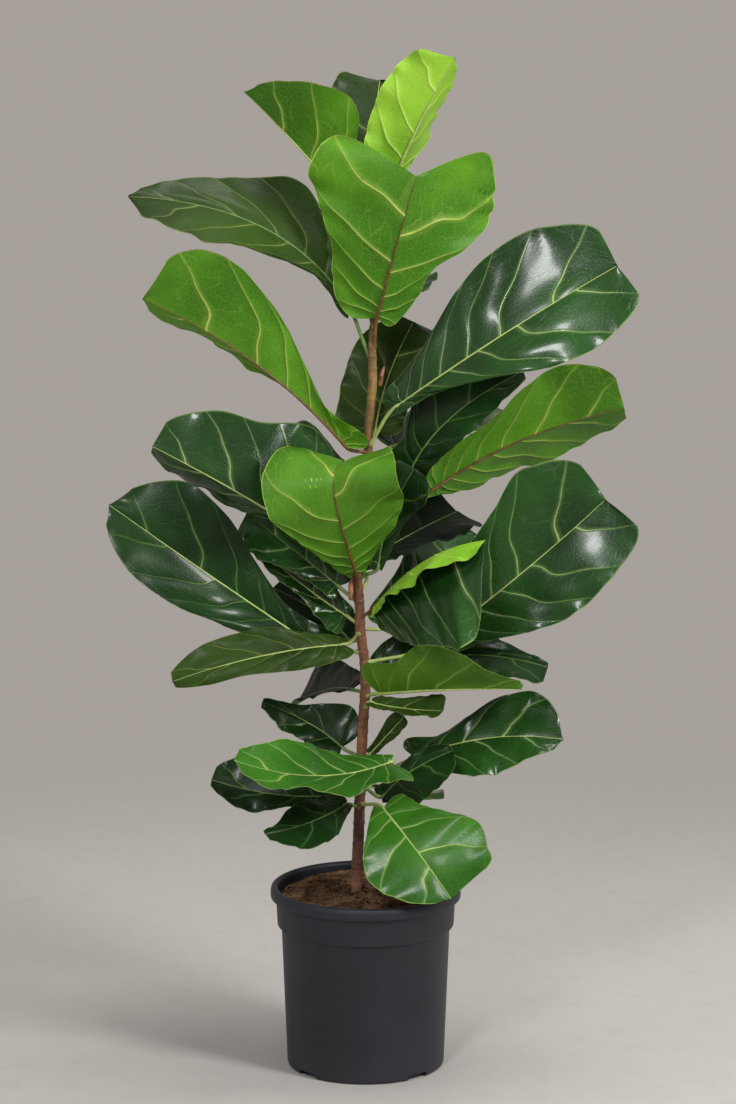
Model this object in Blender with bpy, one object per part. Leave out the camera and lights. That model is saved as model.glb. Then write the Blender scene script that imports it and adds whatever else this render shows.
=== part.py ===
# Potted fiddle leaf fig: one stem with large lyre-shaped leaves, in a plain nursery pot.
# Metres, +Z up; the origin is the centre of the pot's underside; -Y is the front.
# One object for each piece: pot, soil, stem, leaves (blade and stalk), sheaths, end bud.
import bpy
import bmesh
import math
import numpy as np
from mathutils import Vector

MM = 0.001

# ---- driving dimensions (mm) ----
POT_H = 232            # pot height
RIM_R = 120            # radius over the turned-down rim
RIM_Z = 217            # lower edge of the rim
COLLAR_Z = 181         # step where the straight collar starts
BASE_R = 99            # radius at the foot
WALL = 2.6             # pot wall
NOTCH_H = 6.5          # drain notches in the foot edge
NOTCH_W = 32
NOTCH_AT = (-48, 42, 132, 222)      # degrees round the foot, 0 = front
GAP = 0.3              # clearance between pieces
STEM_X = -11           # the stem stands a little off the pot's centre
STEM_FOOT = 155        # the stem's lower end, inside the soil
STEM_TOP = 962
BLADE_T = 1.2          # leaf thickness

# the stem's centre line: height, sideways offset, radius
STEM = ((155, -11, 7.6), (218, -11, 7.6), (251, -11, 7.4), (303, -10, 7.2), (342, -7, 7.1), (393, -5, 6.9),
        (425, -3, 6.8), (483, -1, 6.6), (522, -2, 6.5), (560, -7, 6.4), (598, -8, 6.3), (623, -9, 6.2),
        (662, -4, 6.1), (725, 1, 6.0), (800, 3, 5.9), (838, 7, 5.8), (875, 9, 5.6), (906, 9, 5.3),
        (931, 9, 4.8), (962, 9, 3.4))

# ---- leaves (mm and degrees) ----
# name, height of the stalk on the stem, base / middle / tip of the midrib,
# direction the upper side faces at base and tip (bearing from the front, height above level),
# six half widths of the left and of the right half at the stations below,
# fold of the left and right half at base and tip, curl (left, right),
# depth of the tip notch for the left and right half, height of the margin waves, waves per length, wave offset
LEAVES = (
    ('leaf_01', 334, (-26, -20, 340), (-74, -66, 328), (-124, -100, 324), (-20, 50), (-15, 52),
     (10, 24, 38, 40, 28, 12), (20, 30, 30, 28, 12, 6), (5, 0), (10, 10), (-12, 14), (0.03, 0.03), 3.0, 2.4, 0.0),
    ('leaf_02', 337, (22, -36, 340), (64, -86, 298), (106, -112, 244), (10, 38), (5, 22),
     (28, 40, 60, 82, 74, 58), (14, 44, 70, 74, 50, 20), (14, 4), (12, 2), (10, 10), (-0.01, -0.01), 3.0, 2.4, 1.4),
    ('leaf_03', 350, (6, 26, 354), (24, 110, 326), (44, 190, 292), (10, 66), (10, 72),
     (27, 34, 41, 55, 66, 48), (27, 34, 41, 55, 66, 48), (10, 10), (10, 10), (15, 15), (0.03, 0.03), 4.0, 2.4, 0.0),
    ('leaf_04', 352, (-30, -4, 350), (-110, 10, 346), (-194, 16, 364), (-5, 42), (-5, 50),
     (16, 14, 16, 28, 26, 10), (20, 24, 42, 50, 42, 18), (5, 0), (10, 10), (-8, 15), (0.03, 0.03), 3.0, 2.4, 0.7),
    ('leaf_05', 358, (22, 12, 344), (58, -2, 380), (110, -10, 408), (5, 42), (5, 45),
     (14, 10, 14, 18, 16, 6), (10, 30, 52, 48, 46, 20), (12, 8), (8, 8), (12, 12), (0.03, 0.03), 2.0, 2.4, 0.0),
    ('leaf_06', 366, (62, 34, 388), (152, 22, 416), (248, 8, 418), (5, 48), (8, 50),
     (26, 18, 34, 54, 58, 28), (20, 38, 56, 52, 32, 16), (14, 8), (4, 0), (16, -6), (-0.01, -0.01), 3.0, 2.4, 0.2),
    ('leaf_07', 376, (30, -48, 402), (-64, -92, 396), (-162, -124, 424), (-25, 62), (-20, 66),
     (50, 38, 52, 30, 38, 20), (12, 32, 44, 56, 38, 22), (8, 4), (12, 10), (-10, 16), (0.00, 0.00), 4.0, 2.4, 0.0),
    ('leaf_08', 394, (6, -18, 406), (24, -34, 430), (48, -44, 460), (0, 25), (10, 40),
     (6, 7, 9, 12, 14, 10), (5, 7, 8, 11, 13, 9), (14, 14), (14, 14), (15, 15), (0.03, 0.03), 1.0, 2.4, 0.0),
    ('leaf_09', 398, (-30, 8, 408), (-72, 22, 436), (-130, 24, 462), (-10, 38), (-10, 42),
     (14, 26, 28, 30, 20, 8), (32, 46, 32, 16, 10, 6), (8, 8), (10, 10), (15, 15), (0.03, 0.03), 3.0, 2.4, 0.0),
    ('leaf_10', 462, (8, -30, 474), (50, -54, 472), (96, -74, 474), (0, 66), (0, 66),
     (11, 14, 16, 22, 26, 19), (11, 14, 16, 22, 26, 19), (10, 10), (10, 10), (15, 15), (0.03, 0.03), 1.5, 2.4, 0.0),
    ('leaf_11', 476, (16, -22, 484), (100, -62, 498), (192, -86, 504), (182, 30), (178, 34),
     (16, 20, 24, 34, 38, 22), (44, 44, 66, 58, 24, 10), (55, 50), (5, 8), (15, 18), (0.03, 0.03), 3.0, 2.4, 0.0),
    ('leaf_12', 480, (-18, 26, 478), (-46, 90, 464), (-86, 150, 436), (-20, 60), (-20, 60),
     (24, 31, 37, 50, 60, 43), (24, 31, 37, 50, 60, 43), (10, 10), (10, 10), (15, 15), (0.03, 0.03), 4.0, 2.4, 0.0),
    ('leaf_13', 492, (20, 20, 492), (116, 16, 524), (228, 10, 510), (0, 48), (5, 55),
     (28, 46, 42, 32, 14, 6), (22, 28, 30, 40, 44, 28), (12, 12), (6, 4), (14, 10), (0.03, 0.03), 3.0, 2.4, 0.0),
    ('leaf_14', 518, (82, -10, 544), (200, -20, 642), (296, -24, 730), (10, 34), (12, 34),
     (30, 54, 68, 84, 98, 52), (22, 40, 68, 84, 78, 52), (14, 10), (6, 0), (14, 8), (0.06, 0.06), 3.0, 2.4, 1.1),
    ('leaf_15', 532, (-62, -8, 540), (-192, -42, 638), (-316, -38, 726), (-15, 45), (-10, 42),
     (20, 34, 46, 58, 52, 22), (24, 24, 46, 74, 76, 32), (0, -6), (22, 18), (-8, 12), (0.00, 0.00), 3.0, 2.4, 2.2),
    ('leaf_16', 548, (-20, 22, 542), (-60, 84, 564), (-118, 144, 584), (-15, 60), (-20, 60),
     (22, 29, 34, 46, 55, 40), (22, 29, 34, 46, 55, 40), (10, 10), (10, 10), (15, 15), (0.03, 0.03), 4.0, 2.4, 0.0),
    ('leaf_17', 556, (-28, -40, 550), (-132, -72, 542), (-238, -80, 512), (0, 55), (-5, 50),
     (20, 28, 26, 20, 18, 8), (12, 22, 34, 36, 30, 12), (10, -30), (10, 15), (-30, 18), (0.03, 0.03), 3.0, 2.4, 0.0),
    ('leaf_18', 560, (28, 34, 558), (94, 130, 600), (148, 200, 636), (30, 60), (30, 66),
     (29, 38, 45, 60, 72, 52), (29, 38, 45, 60, 72, 52), (10, 10), (10, 10), (15, 15), (0.03, 0.03), 4.0, 2.4, 0.0),
    ('leaf_19', 568, (-24, 10, 576), (-76, 16, 612), (-138, 16, 664), (-10, 40), (-10, 45),
     (34, 26, 18, 16, 14, 6), (12, 20, 32, 44, 52, 36), (10, 10), (10, 10), (15, 15), (0.03, 0.03), 3.0, 2.4, 1.0),
    ('leaf_20', 577, (10, -18, 592), (72, -74, 662), (146, -104, 694), (20, 44), (30, 46),
     (16, 28, 36, 42, 44, 30), (34, 80, 104, 124, 140, 98), (90, 98), (0, -8), (12, -10), (0.00, 0.00), 6.0, 2.4, 0.4),
    ('leaf_21', 597, (-34, 8, 614), (-78, 12, 650), (-148, 10, 706), (-10, 40), (-10, 45),
     (20, 24, 28, 40, 46, 32), (20, 18, 24, 32, 34, 14), (10, 10), (10, 10), (15, 15), (0.03, 0.03), 3.0, 2.4, 0.0),
    ('leaf_22', 604, (-2, 70, 620), (-58, 160, 650), (-124, 212, 658), (-30, 60), (-30, 66),
     (18, 23, 27, 37, 44, 32), (24, 31, 37, 50, 60, 43), (10, 10), (10, 10), (15, 15), (0.03, 0.03), 4.0, 2.4, 0.0),
    ('leaf_23', 614, (-12, -24, 638), (-38, -94, 750), (-28, -48, 780), (180, 5), (182, -48),
     (14, 42, 70, 84, 76, 46), (14, 36, 60, 84, 84, 50), (6, -38), (6, 0), (10, 10), (0.12, 0.12), 3.0, 2.4, 0.0),
    ('leaf_24', 628, (16, -12, 644), (30, -16, 706), (60, -20, 768), (10, 35), (5, 40),
     (10, 14, 20, 28, 30, 20), (6, 14, 18, 26, 40, 20), (12, 12), (8, 8), (15, 15), (0.03, 0.03), 3.0, 2.4, 0.0),
    ('leaf_25', 640, (-38, -18, 662), (-146, -34, 734), (-262, -34, 798), (-10, 30), (-5, 30),
     (22, 30, 20, 28, 32, 14), (34, 92, 116, 90, 74, 34), (-62, -58), (5, 6), (-15, 10), (0.03, 0.03), 4.0, 2.4, 0.3),
    ('leaf_26', 641, (4, -10, 648), (0, -18, 664), (-4, -14, 680), (-20, 10), (-40, 10),
     (6, 7, 8, 10, 12, 9), (5, 6, 7, 9, 11, 8), (40, 50), (40, 50), (40, 40), (0.03, 0.03), 0.5, 2.4, 0.0),
    ('leaf_27', 655, (12, 22, 650), (58, 84, 666), (116, 150, 682), (15, 60), (20, 60),
     (22, 29, 34, 46, 55, 40), (22, 29, 34, 46, 55, 40), (10, 10), (10, 10), (15, 15), (0.03, 0.03), 4.0, 2.4, 0.0),
    ('leaf_28', 690, (-12, 28, 694), (-26, 110, 704), (-46, 210, 698), (-10, 62), (-10, 70),
     (31, 40, 47, 64, 76, 55), (31, 40, 47, 64, 76, 55), (10, 10), (10, 10), (15, 15), (0.03, 0.03), 4.0, 2.4, 0.0),
    ('leaf_29', 715, (-16, 38, 722), (-84, 130, 740), (-138, 190, 748), (-25, 60), (-30, 66),
     (27, 34, 41, 55, 66, 48), (27, 34, 41, 55, 66, 48), (10, 10), (10, 10), (15, 15), (0.03, 0.03), 4.0, 2.4, 0.0),
    ('leaf_30', 728, (80, 30, 730), (194, 48, 792), (322, 44, 832), (182, 30), (182, 38),
     (8, 48, 62, 70, 54, 22), (26, 34, 44, 68, 76, 44), (14, 8), (5, 12), (12, 18), (0.03, 0.03), 3.0, 2.4, 2.0),
    ('leaf_31', 758, (56, 10, 760), (106, -8, 830), (194, -10, 888), (10, 42), (10, 45),
     (34, 30, 56, 72, 62, 44), (20, 28, 40, 36, 28, 12), (12, 12), (8, 8), (15, 15), (0.03, 0.03), 3.0, 2.4, 0.0),
    ('leaf_32', 778, (32, 32, 786), (94, 108, 800), (160, 170, 816), (20, 62), (30, 70),
     (24, 31, 37, 50, 60, 43), (24, 31, 37, 50, 60, 43), (10, 10), (10, 10), (15, 15), (0.03, 0.03), 4.0, 2.4, 0.0),
    ('leaf_33', 785, (-24, -14, 794), (-136, -44, 904), (-272, -42, 982), (180, 20), (178, 28),
     (28, 18, 44, 80, 98, 66), (24, 32, 46, 66, 78, 54), (0, 4), (75, 76), (8, 14), (0.00, 0.00), 4.0, 2.4, 1.5),
    ('leaf_34', 795, (38, -24, 846), (166, -60, 940), (306, -52, 1024), (-5, 42), (4, 46),
     (22, 44, 74, 94, 90, 50), (8, 18, 44, 70, 74, 44), (12, 8), (0, -12), (18, -8), (0.05, 0.05), 3.0, 2.1, 0.8),
    ('leaf_35', 800, (12, 24, 806), (28, 62, 868), (60, 94, 934), (-10, 30), (0, 40),
     (48, 52, 54, 54, 42, 18), (32, 36, 40, 52, 60, 44), (8, 8), (8, 8), (15, 15), (0.03, 0.03), 4.0, 2.4, 0.0),
    ('leaf_36', 903, (-22, 4, 968), (-128, 10, 1064), (-290, 0, 1102), (-20, 50), (-5, 66),
     (12, 14, 44, 86, 80, 54), (12, 22, 78, 58, 38, 16), (10, 5), (14, 8), (10, 12), (-0.01, -0.01), 3.0, 2.4, 0.5),
    ('leaf_37', 918, (14, -14, 954), (38, -42, 1048), (62, -48, 1132), (178, 5), (180, 30),
     (24, 44, 54, 94, 126, 84), (44, 70, 82, 108, 132, 98), (8, 14), (10, 14), (22, 22), (0.30, 0.15), 4.0, 2.4, 2.0),
    ('leaf_38', 930, (10, 26, 956), (14, 110, 960), (18, 180, 962), (0, 62), (0, 70),
     (32, 42, 50, 67, 80, 58), (32, 42, 50, 67, 80, 58), (10, 10), (10, 10), (15, 15), (0.03, 0.03), 4.0, 2.4, 0.0),
    ('leaf_39', 940, (16, 78, 1070), (12, 132, 1158), (18, 176, 1228), (0, 30), (0, 40),
     (25, 32, 39, 52, 62, 45), (25, 32, 39, 52, 62, 45), (10, 10), (10, 10), (20, 20), (0.03, 0.03), 4.0, 2.4, 0.0),
    ('leaf_40', 950, (-16, 44, 1082), (-92, 62, 1166), (-150, 84, 1222), (160, 20), (150, 30),
     (36, 44, 94, 94, 58, 24), (24, 32, 42, 58, 70, 50), (5, 0), (80, 85), (15, 10), (-0.02, -0.02), 5.0, 2.4, 1.0),
    ('leaf_41', 958, (32, 22, 1108), (60, 14, 1178), (108, 0, 1272), (180, 10), (170, 20),
     (22, 34, 82, 46, 34, 14), (24, 50, 60, 62, 56, 36), (60, 55), (8, 12), (30, 18), (-0.02, -0.02), 3.0, 2.4, 0.0),
)
# dry sheaths and buds: name, foot (mm), tip (mm), radius at the foot, colour
SHEATHS = (
    ('sheath_01', (-18, -7, 600), (-16, -12, 630), 3.2, (0.30, 0.17, 0.09)),
    ('sheath_02', (0, -10.5, 678), (-2, -14, 704), 3.0, (0.50, 0.27, 0.20)),
    ('sheath_03', (18, 1, 868), (24, -4, 892), 2.6, (0.30, 0.17, 0.09)),
    ('end_bud', (9, 0, 962.6), (11, -1, 994), 4.2, (0.28, 0.19, 0.08)),
)

# stations along the blade, 0 = stalk, 1 = tip: share of the length at the margin and on the midrib
ROW_A = np.array([0, .08, .16, .35, .50, .65, .80, .92, 1.0])
MARGIN_U = np.array([0, -.045, -.02, .20, .40, .61, .82, .965, 1.0])
MIDRIB_U = np.array([0, .012, .03, .085, .215, .40, .62, .86, 1.0])
NOTCH_K = np.array([0, 0, 0, 0, 0, 0, .25, 1, 0.0])

ROWS = (.07, .15, .27, .40, .54, .68, .81, .92)
COLS = (.52, 1.0)


def clear():
    for o in list(bpy.data.objects):
        bpy.data.objects.remove(o, do_unlink=True)


def material(name, rgb, rough, metallic=0.0):
    m = bpy.data.materials.new(name)
    m.use_nodes = True
    b = m.node_tree.nodes['Principled BSDF']
    b.inputs['Base Color'].default_value = (*rgb, 1)
    b.inputs['Roughness'].default_value = rough
    b.inputs['Metallic'].default_value = metallic
    m.diffuse_color = (*rgb, 1)
    return m


def add(name, bm, mat=None, smooth=True):
    me = bpy.data.meshes.new(name)
    bm.to_mesh(me)
    bm.free()
    if smooth:
        me.shade_smooth()
    o = bpy.data.objects.new(name, me)
    bpy.context.scene.collection.objects.link(o)
    if mat:
        me.materials.append(mat)
    return o


def spline(x, y, q):
    """smooth curve through the points x, y, read at q"""
    x, y, q = (np.asarray(v, float) for v in (x, y, q))
    m = np.gradient(y, x)
    i = np.clip(np.searchsorted(x, q, side='right') - 1, 0, len(x) - 2)
    h = x[i + 1] - x[i]
    t = (q - x[i]) / h
    return ((2 * t**3 - 3 * t**2 + 1) * y[i] + (t**3 - 2 * t**2 + t) * h * m[i]
            + (-2 * t**3 + 3 * t**2) * y[i + 1] + (t**3 - t**2) * h * m[i + 1])


def unit(v):
    v = np.asarray(v, float)
    return v / np.maximum(np.linalg.norm(v, axis=-1, keepdims=True), 1e-12)


def look(bearing, height):
    a, e = math.radians(bearing), math.radians(height)
    return np.array([math.sin(a) * math.cos(e), -math.cos(a) * math.cos(e), math.sin(e)])


def stem_at(z):
    """centre (x, y) and radius of the stem at height z, mm"""
    zs = [s[0] for s in STEM]
    return (float(np.interp(z, zs, [s[1] for s in STEM])), 0.0,
            float(np.interp(z, zs, [s[2] for s in STEM])))


def pattern(a, b, w, notch):
    """flat blade: share of the length and half width at row a, share b of the way to the margin"""
    mv = np.array([0, .62 * w[0], w[0], w[1], w[2], w[3], w[4], w[5], 0])
    um = spline(ROW_A, MARGIN_U + NOTCH_K * notch, a)
    vm = np.maximum(spline(ROW_A, mv, a), 0)
    e = np.clip((a - .92) / .08, 0, 1)
    vm = np.where(a > .92, w[5] * np.sqrt(np.maximum(1 - e**2, 0)) * (1 - .25 * e), vm)
    um = np.where(a > .92, 1 + (MARGIN_U[7] + notch - 1) * np.sqrt(np.maximum(1 - e**2, 0)), um)
    u0 = spline(ROW_A, MIDRIB_U, a)
    return u0 + (um - u0) * (0.55 * b + 0.45 * b * b), vm * b


def midrib(p0, p1, p2, n=80):
    """evenly spaced points and directions of the smooth curve through base, middle and tip"""
    p0, p1, p2 = (np.asarray(p, float) for p in (p0, p1, p2))
    c = 2 * p1 - 0.5 * (p0 + p2)
    t = np.linspace(0, 1, 400)[:, None]
    q = (1 - t)**2 * p0 + 2 * t * (1 - t) * c + t * t * p2
    s = np.concatenate([[0], np.cumsum(np.linalg.norm(np.diff(q, axis=0), axis=1))])
    k = np.linspace(0, s[-1], n)
    pts = np.stack([np.interp(k, s, q[:, i]) for i in range(3)], 1)
    return pts, unit(np.gradient(pts, axis=0)), s[-1]


class Leaf:
    def __init__(self, row):
        (self.name, self.z, base, mid, tip, f0, f1, wl, wr, self.fl, self.fr, self.curl,
         self.notch, self.wave, self.freq, self.phase) = row
        self.pts, self.tan, self.length = midrib(base, mid, tip)
        self.face0, self.face1 = look(*f0), look(*f1)
        self.w = {1: np.array(wl, float), -1: np.array(wr, float)}

    def frame(self, u):
        n = len(self.pts)
        uc = np.clip(u, 0, 1)
        k = uc * (n - 1)
        i = np.clip(k.astype(int), 0, n - 2)
        f = (k - i)[..., None]
        m = self.pts[i] * (1 - f) + self.pts[i + 1] * f
        t = unit(self.tan[i] * (1 - f) + self.tan[i + 1] * f)
        m = m + t * ((u - uc) * self.length)[..., None]
        h = self.face0 * (1 - uc[..., None]) + self.face1 * uc[..., None]
        nn = unit(h - (h * t).sum(-1, keepdims=True) * t)
        return m, t, nn, np.cross(nn, t)

    def point(self, a, b, side):
        """middle surface of the blade, mm"""
        w = self.w[side]
        u, v = pattern(a, b, w, self.notch[0 if side > 0 else 1])
        wide = w.max()
        v = v / wide
        m, t, n, left = self.frame(u)
        uc = np.clip(u, 0, 1)
        f0, f1 = self.fl if side > 0 else self.fr
        phi = np.radians(f0 + (f1 - f0) * uc)
        c = self.curl[0] if side > 0 else self.curl[1]
        kap = math.radians(c if abs(c) > 0.5 else 0.5)
        x = (np.sin(phi + kap * v) - np.sin(phi)) / kap
        y = (np.cos(phi) - np.cos(phi + kap * v)) / kap
        ph = self.phase + (1.9 if side < 0 else 0)
        wv = self.wave * v**1.7 * (np.sin(2 * math.pi * self.freq * u + ph)
                                   + 0.45 * np.sin(4.6 * math.pi * self.freq * u + 2.1 * ph))
        ang = phi + kap * v
        nn = n * np.cos(ang)[..., None] - left * (side * np.sin(ang))[..., None]
        return m + left * (side * wide * x)[..., None] + n * (wide * y)[..., None] + nn * wv[..., None], nn


def stalk_curve(leaf, n=6):
    """the leaf stalk's centre line, from just clear of the stem to the foot of the midrib"""
    base, t = leaf.pts[0], leaf.tan[0]
    sx, sy, r = stem_at(leaf.z)
    out = unit(np.array([base[0] - sx, base[1] - sy, 0.0]))
    tilt = unit(base - np.array([sx, sy, leaf.z]))
    tilt = unit(np.array([*(out[:2] * max(np.hypot(*tilt[:2]), 0.5)), tilt[2]]))
    start = np.array([sx, sy, leaf.z]) + out * (r + GAP + STALK_R * 0.9)
    span = np.linalg.norm(base - start)
    c1 = start + tilt * span * 0.35
    c2 = base - t * span * 0.35
    s = np.linspace(0, 1, n)[:, None]
    return (1 - s)**3 * start + 3 * s * (1 - s)**2 * c1 + 3 * s * s * (1 - s) * c2 + s**3 * base


STALK_R = 2.3


def tube(path, radii, sides):
    """closed tube with flat ends round a path, mm in, metres out"""
    bm = bmesh.new()
    path = np.asarray(path, float)
    tan = unit(np.gradient(path, axis=0))
    up = np.array([0.3, 0.2, 1.0])
    rings = []
    ref = unit(np.cross(tan[0], up))
    for p, t, r in zip(path, tan, radii):
        ref = unit(ref - (ref @ t) * t)
        bi = np.cross(t, ref)
        rings.append([bm.verts.new(Vector((p + r * (math.cos(2 * math.pi * k / sides) * ref
                                                    + math.sin(2 * math.pi * k / sides) * bi)) * MM))
                      for k in range(sides)])
    for a, b in zip(rings[:-1], rings[1:]):
        for k in range(sides):
            bm.faces.new((a[k], a[(k + 1) % sides], b[(k + 1) % sides], b[k]))
    bm.faces.new(rings[0][::-1])
    bm.faces.new(rings[-1])
    bmesh.ops.recalc_face_normals(bm, faces=bm.faces)
    return bm


def lathe(profile, sides, cx=0.0, lift=None):
    """solid of revolution about the upright axis at x = cx; the profile runs from axis to axis, mm"""
    bm = bmesh.new()
    rings = []
    for r, z in profile:
        if r < 1e-6:
            rings.append([bm.verts.new((cx * MM, 0, z * MM))])
            continue
        ring = []
        for k in range(sides):
            a = 2 * math.pi * k / sides
            x, y = r * math.sin(a), -r * math.cos(a)
            dz = lift(x, y, r) if lift else 0.0
            ring.append(bm.verts.new(((x + cx) * MM, y * MM, (z + dz) * MM)))
        rings.append(ring)
    for a, b in zip(rings[:-1], rings[1:]):
        for k in range(sides):
            j = (k + 1) % sides
            if len(a) == 1:
                bm.faces.new((a[0], b[j], b[k]))
            elif len(b) == 1:
                bm.faces.new((a[k], a[j], b[0]))
            else:
                bm.faces.new((a[k], a[j], b[j], b[k]))
    bmesh.ops.recalc_face_normals(bm, faces=bm.faces)
    return bm


def cut(obj, cutter, op='DIFFERENCE'):
    cutter.hide_render = True
    cutter.display_type = 'WIRE'
    m = obj.modifiers.new('cut', 'BOOLEAN')
    m.operation = op
    m.solver = 'EXACT'
    m.object = cutter


def make_leaf(row):
    """blade, midrib and stalk as one closed body: a six-sided stalk that opens into the blade"""
    leaf = Leaf(row)
    bm = bmesh.new()
    vert = lambda p: bm.verts.new(Vector(p * MM))
    small = 0.6 if leaf.length < 60 else 1.0
    h = BLADE_T / 2
    # stalk rings, carried back from the blade's own directions
    path = stalk_curve(leaf)
    tan = unit(np.gradient(path, axis=0))
    tan[-1] = leaf.tan[0]
    _, _, n0, left0 = (v[0] for v in leaf.frame(np.array([0.0])))
    up, rings = n0, []
    for i in range(len(path) - 1, -1, -1):
        up = unit(up - (up @ tan[i]) * tan[i])
        lf = np.cross(up, tan[i])
        r = STALK_R * small * (0.85 if i == len(path) - 1 else 1.15 if i == 0 else 1.0)
        rings.append([vert(path[i] + r * (math.cos(q) * up + math.sin(q) * lf))
                      for q in (math.radians(60 * k) for k in range(6))])
    foot = rings[0]                      # top, top left, under left, under, under right, top right
    for p, q in zip(rings[:-1], rings[1:]):
        for k in range(6):
            j = (k + 1) % 6
            bm.faces.new((p[k], p[j], q[j], q[k]))
    bm.faces.new(rings[-1])
    # blade
    rows = np.array(ROWS)
    m, t, n, _ = leaf.frame(spline(ROW_A, MIDRIB_U, rows))
    rib = (STALK_R * 0.85 * small - h) * (1 - rows)**1.5
    tip = (vert(leaf.pts[-1] + n[-1] * h), vert(leaf.pts[-1] - n[-1] * h))
    mid = ([vert(p + q * h) for p, q in zip(m, n)], [vert(p - q * (h + r)) for p, q, r in zip(m, n, rib)])
    for side in (1, -1):
        near = (foot[1], foot[2]) if side > 0 else (foot[5], foot[4])
        faces_of = []
        for face in (0, 1):
            cols = [[foot[0] if face == 0 else foot[3]] + mid[face] + [tip[face]]]
            for b in COLS:
                p, nn = leaf.point(rows, np.full(len(rows), b), side)
                cols.append([near[face]] + [vert(q) for q in p + nn * (h if face == 0 else -h)] + [tip[face]])
            faces_of.append(cols[-1])
            for c0, c1 in zip(cols[:-1], cols[1:]):
                for i in range(len(c0) - 1):
                    f = [c0[i], c0[i + 1], c1[i + 1], c1[i]]
                    f = [v for k, v in enumerate(f) if v not in f[:k]]
                    bm.faces.new(f)
        for i in range(len(faces_of[0]) - 1):
            bm.faces.new((faces_of[0][i], faces_of[0][i + 1], faces_of[1][i + 1], faces_of[1][i]))
    bmesh.ops.triangulate(bm, faces=bm.faces[:])
    bmesh.ops.recalc_face_normals(bm, faces=bm.faces)
    young = leaf.z > 955 or leaf.length < 60
    under = 100 < row[5][0] < 260
    rgb = (0.20, 0.42, 0.05) if young else (0.10, 0.26, 0.03) if under else (0.025, 0.10, 0.018)
    return add(leaf.name, bm, material(leaf.name, rgb, 0.35))


def make_pot():
    prof = [(0, 0), (93.5, 0), (98, .7), (BASE_R, 3), (99.4, 10), (106.2, COLLAR_Z - 1), (110.8, COLLAR_Z + .4),
            (111.4, COLLAR_Z + 2), (113, 214), (113.2, 224), (113.7, 226.6), (115, 227), (116.3, 225),
            (116.6, RIM_Z + .6), (118.2, RIM_Z - .6), (RIM_R, RIM_Z + 1), (RIM_R, 226), (118.6, 230.4),
            (116, POT_H), (114.4, POT_H), (111.6, 230.6), (110.6, 228), (110.2, 206), (108.6, 184.8),
            (106.2 - WALL, 180.6), (99 - WALL, 9), (94, 5), (89, 2.8), (0, 2.8)]
    pot = add('pot', lathe(prof, 40), material('pot_plastic', (0.028, 0.029, 0.034), 0.5))
    bm = bmesh.new()
    for a in NOTCH_AT:
        ra = math.radians(a)
        box = bmesh.ops.create_cube(bm, size=1.0)['verts']
        for v in box:
            x, y, z = v.co.x * NOTCH_W, v.co.y * 16 - 99, v.co.z * 2 * NOTCH_H
            v.co = Vector((x * math.cos(ra) - y * math.sin(ra), x * math.sin(ra) + y * math.cos(ra), z)) * MM
    cut(pot, add('notch_cutter', bm, smooth=False))
    pot.data.set_sharp_from_angle(angle=math.radians(40))
    return pot


def soil_lift(x, y, r):
    """the heaped, slightly uneven surface"""
    k = max(0.0, min(1.0, (108 - r) / 30))
    return k * (1.2 * math.sin(x / 17 + 0.7) * math.cos(y / 21) + 0.9 * math.sin(y / 13 + x / 31 + 2.1)) + 0.055 * y * k


def make_soil():
    prof = [(0, 3.1), (88.2, 3.1), (93.2, 5.3), (99 - WALL - .7, 9.3), (106.2 - WALL - .7, 181.2),
            (107.4, 185.4), (109.3, 206), (109.5, 215)]
    top = [(103, 218), (84, 220.4), (60, 221.8), (38, 222.6), (18, 223.2), (0, 223.6)]
    bm = lathe(prof + top, 32)
    bm.verts.ensure_lookup_table()
    for v in bm.verts:
        r = math.hypot(v.co.x, v.co.y) / MM
        if v.co.z > 0.216 and r < 104:
            v.co.z += soil_lift(v.co.x / MM, v.co.y / MM, r) * MM
    soil = add('soil', bm, material('soil', (0.10, 0.05, 0.025), 0.95))
    bm = bmesh.new()
    z0, z1 = STEM_FOOT - GAP, 260
    bmesh.ops.create_cone(bm, cap_ends=True, segments=20, radius1=8.1 * MM, radius2=8.1 * MM, depth=(z1 - z0) * MM)
    bmesh.ops.translate(bm, verts=bm.verts, vec=(STEM_X * MM, 0, (z0 + z1) / 2 * MM))
    cut(soil, add('stem_hole_cutter', bm, smooth=False))
    return soil


def make_stem():
    knots = sorted({row[1] for row in LEAVES} | {s[0] for s in STEM})
    zs = [STEM_FOOT]
    for z in knots:
        if z - zs[-1] >= 16 or z == STEM_TOP:
            zs.append(z)
    path = [(stem_at(z)[0], 0, z) for z in zs]
    leafy = {row[1] for row in LEAVES}
    radii = [stem_at(z)[2] * (1.0 if z in leafy or z < 300 else 0.95) for z in zs]
    return add('stem', tube(path, radii, 10), material('stem_bark', (0.16, 0.08, 0.045), 0.75))


def make_sheath(row):
    name, foot, tip, r, rgb = row
    foot, tip = np.array(foot, float), np.array(tip, float)
    path = [foot + (tip - foot) * t for t in (0, .15, .4, .7, .92, 1)]
    radii = [r * k for k in (.8, 1, .92, .6, .22, .06)]
    return add(name, tube(path, radii, 8), material(name, rgb, 0.7))


clear()
plant = bpy.data.objects.new('plant_origin', None)
bpy.context.scene.collection.objects.link(plant)
pieces = [make_pot(), make_soil(), make_stem()]
pieces += [make_sheath(r) for r in SHEATHS]
pieces += [make_leaf(r) for r in LEAVES]
for piece in pieces:
    piece.parent = plant
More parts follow.
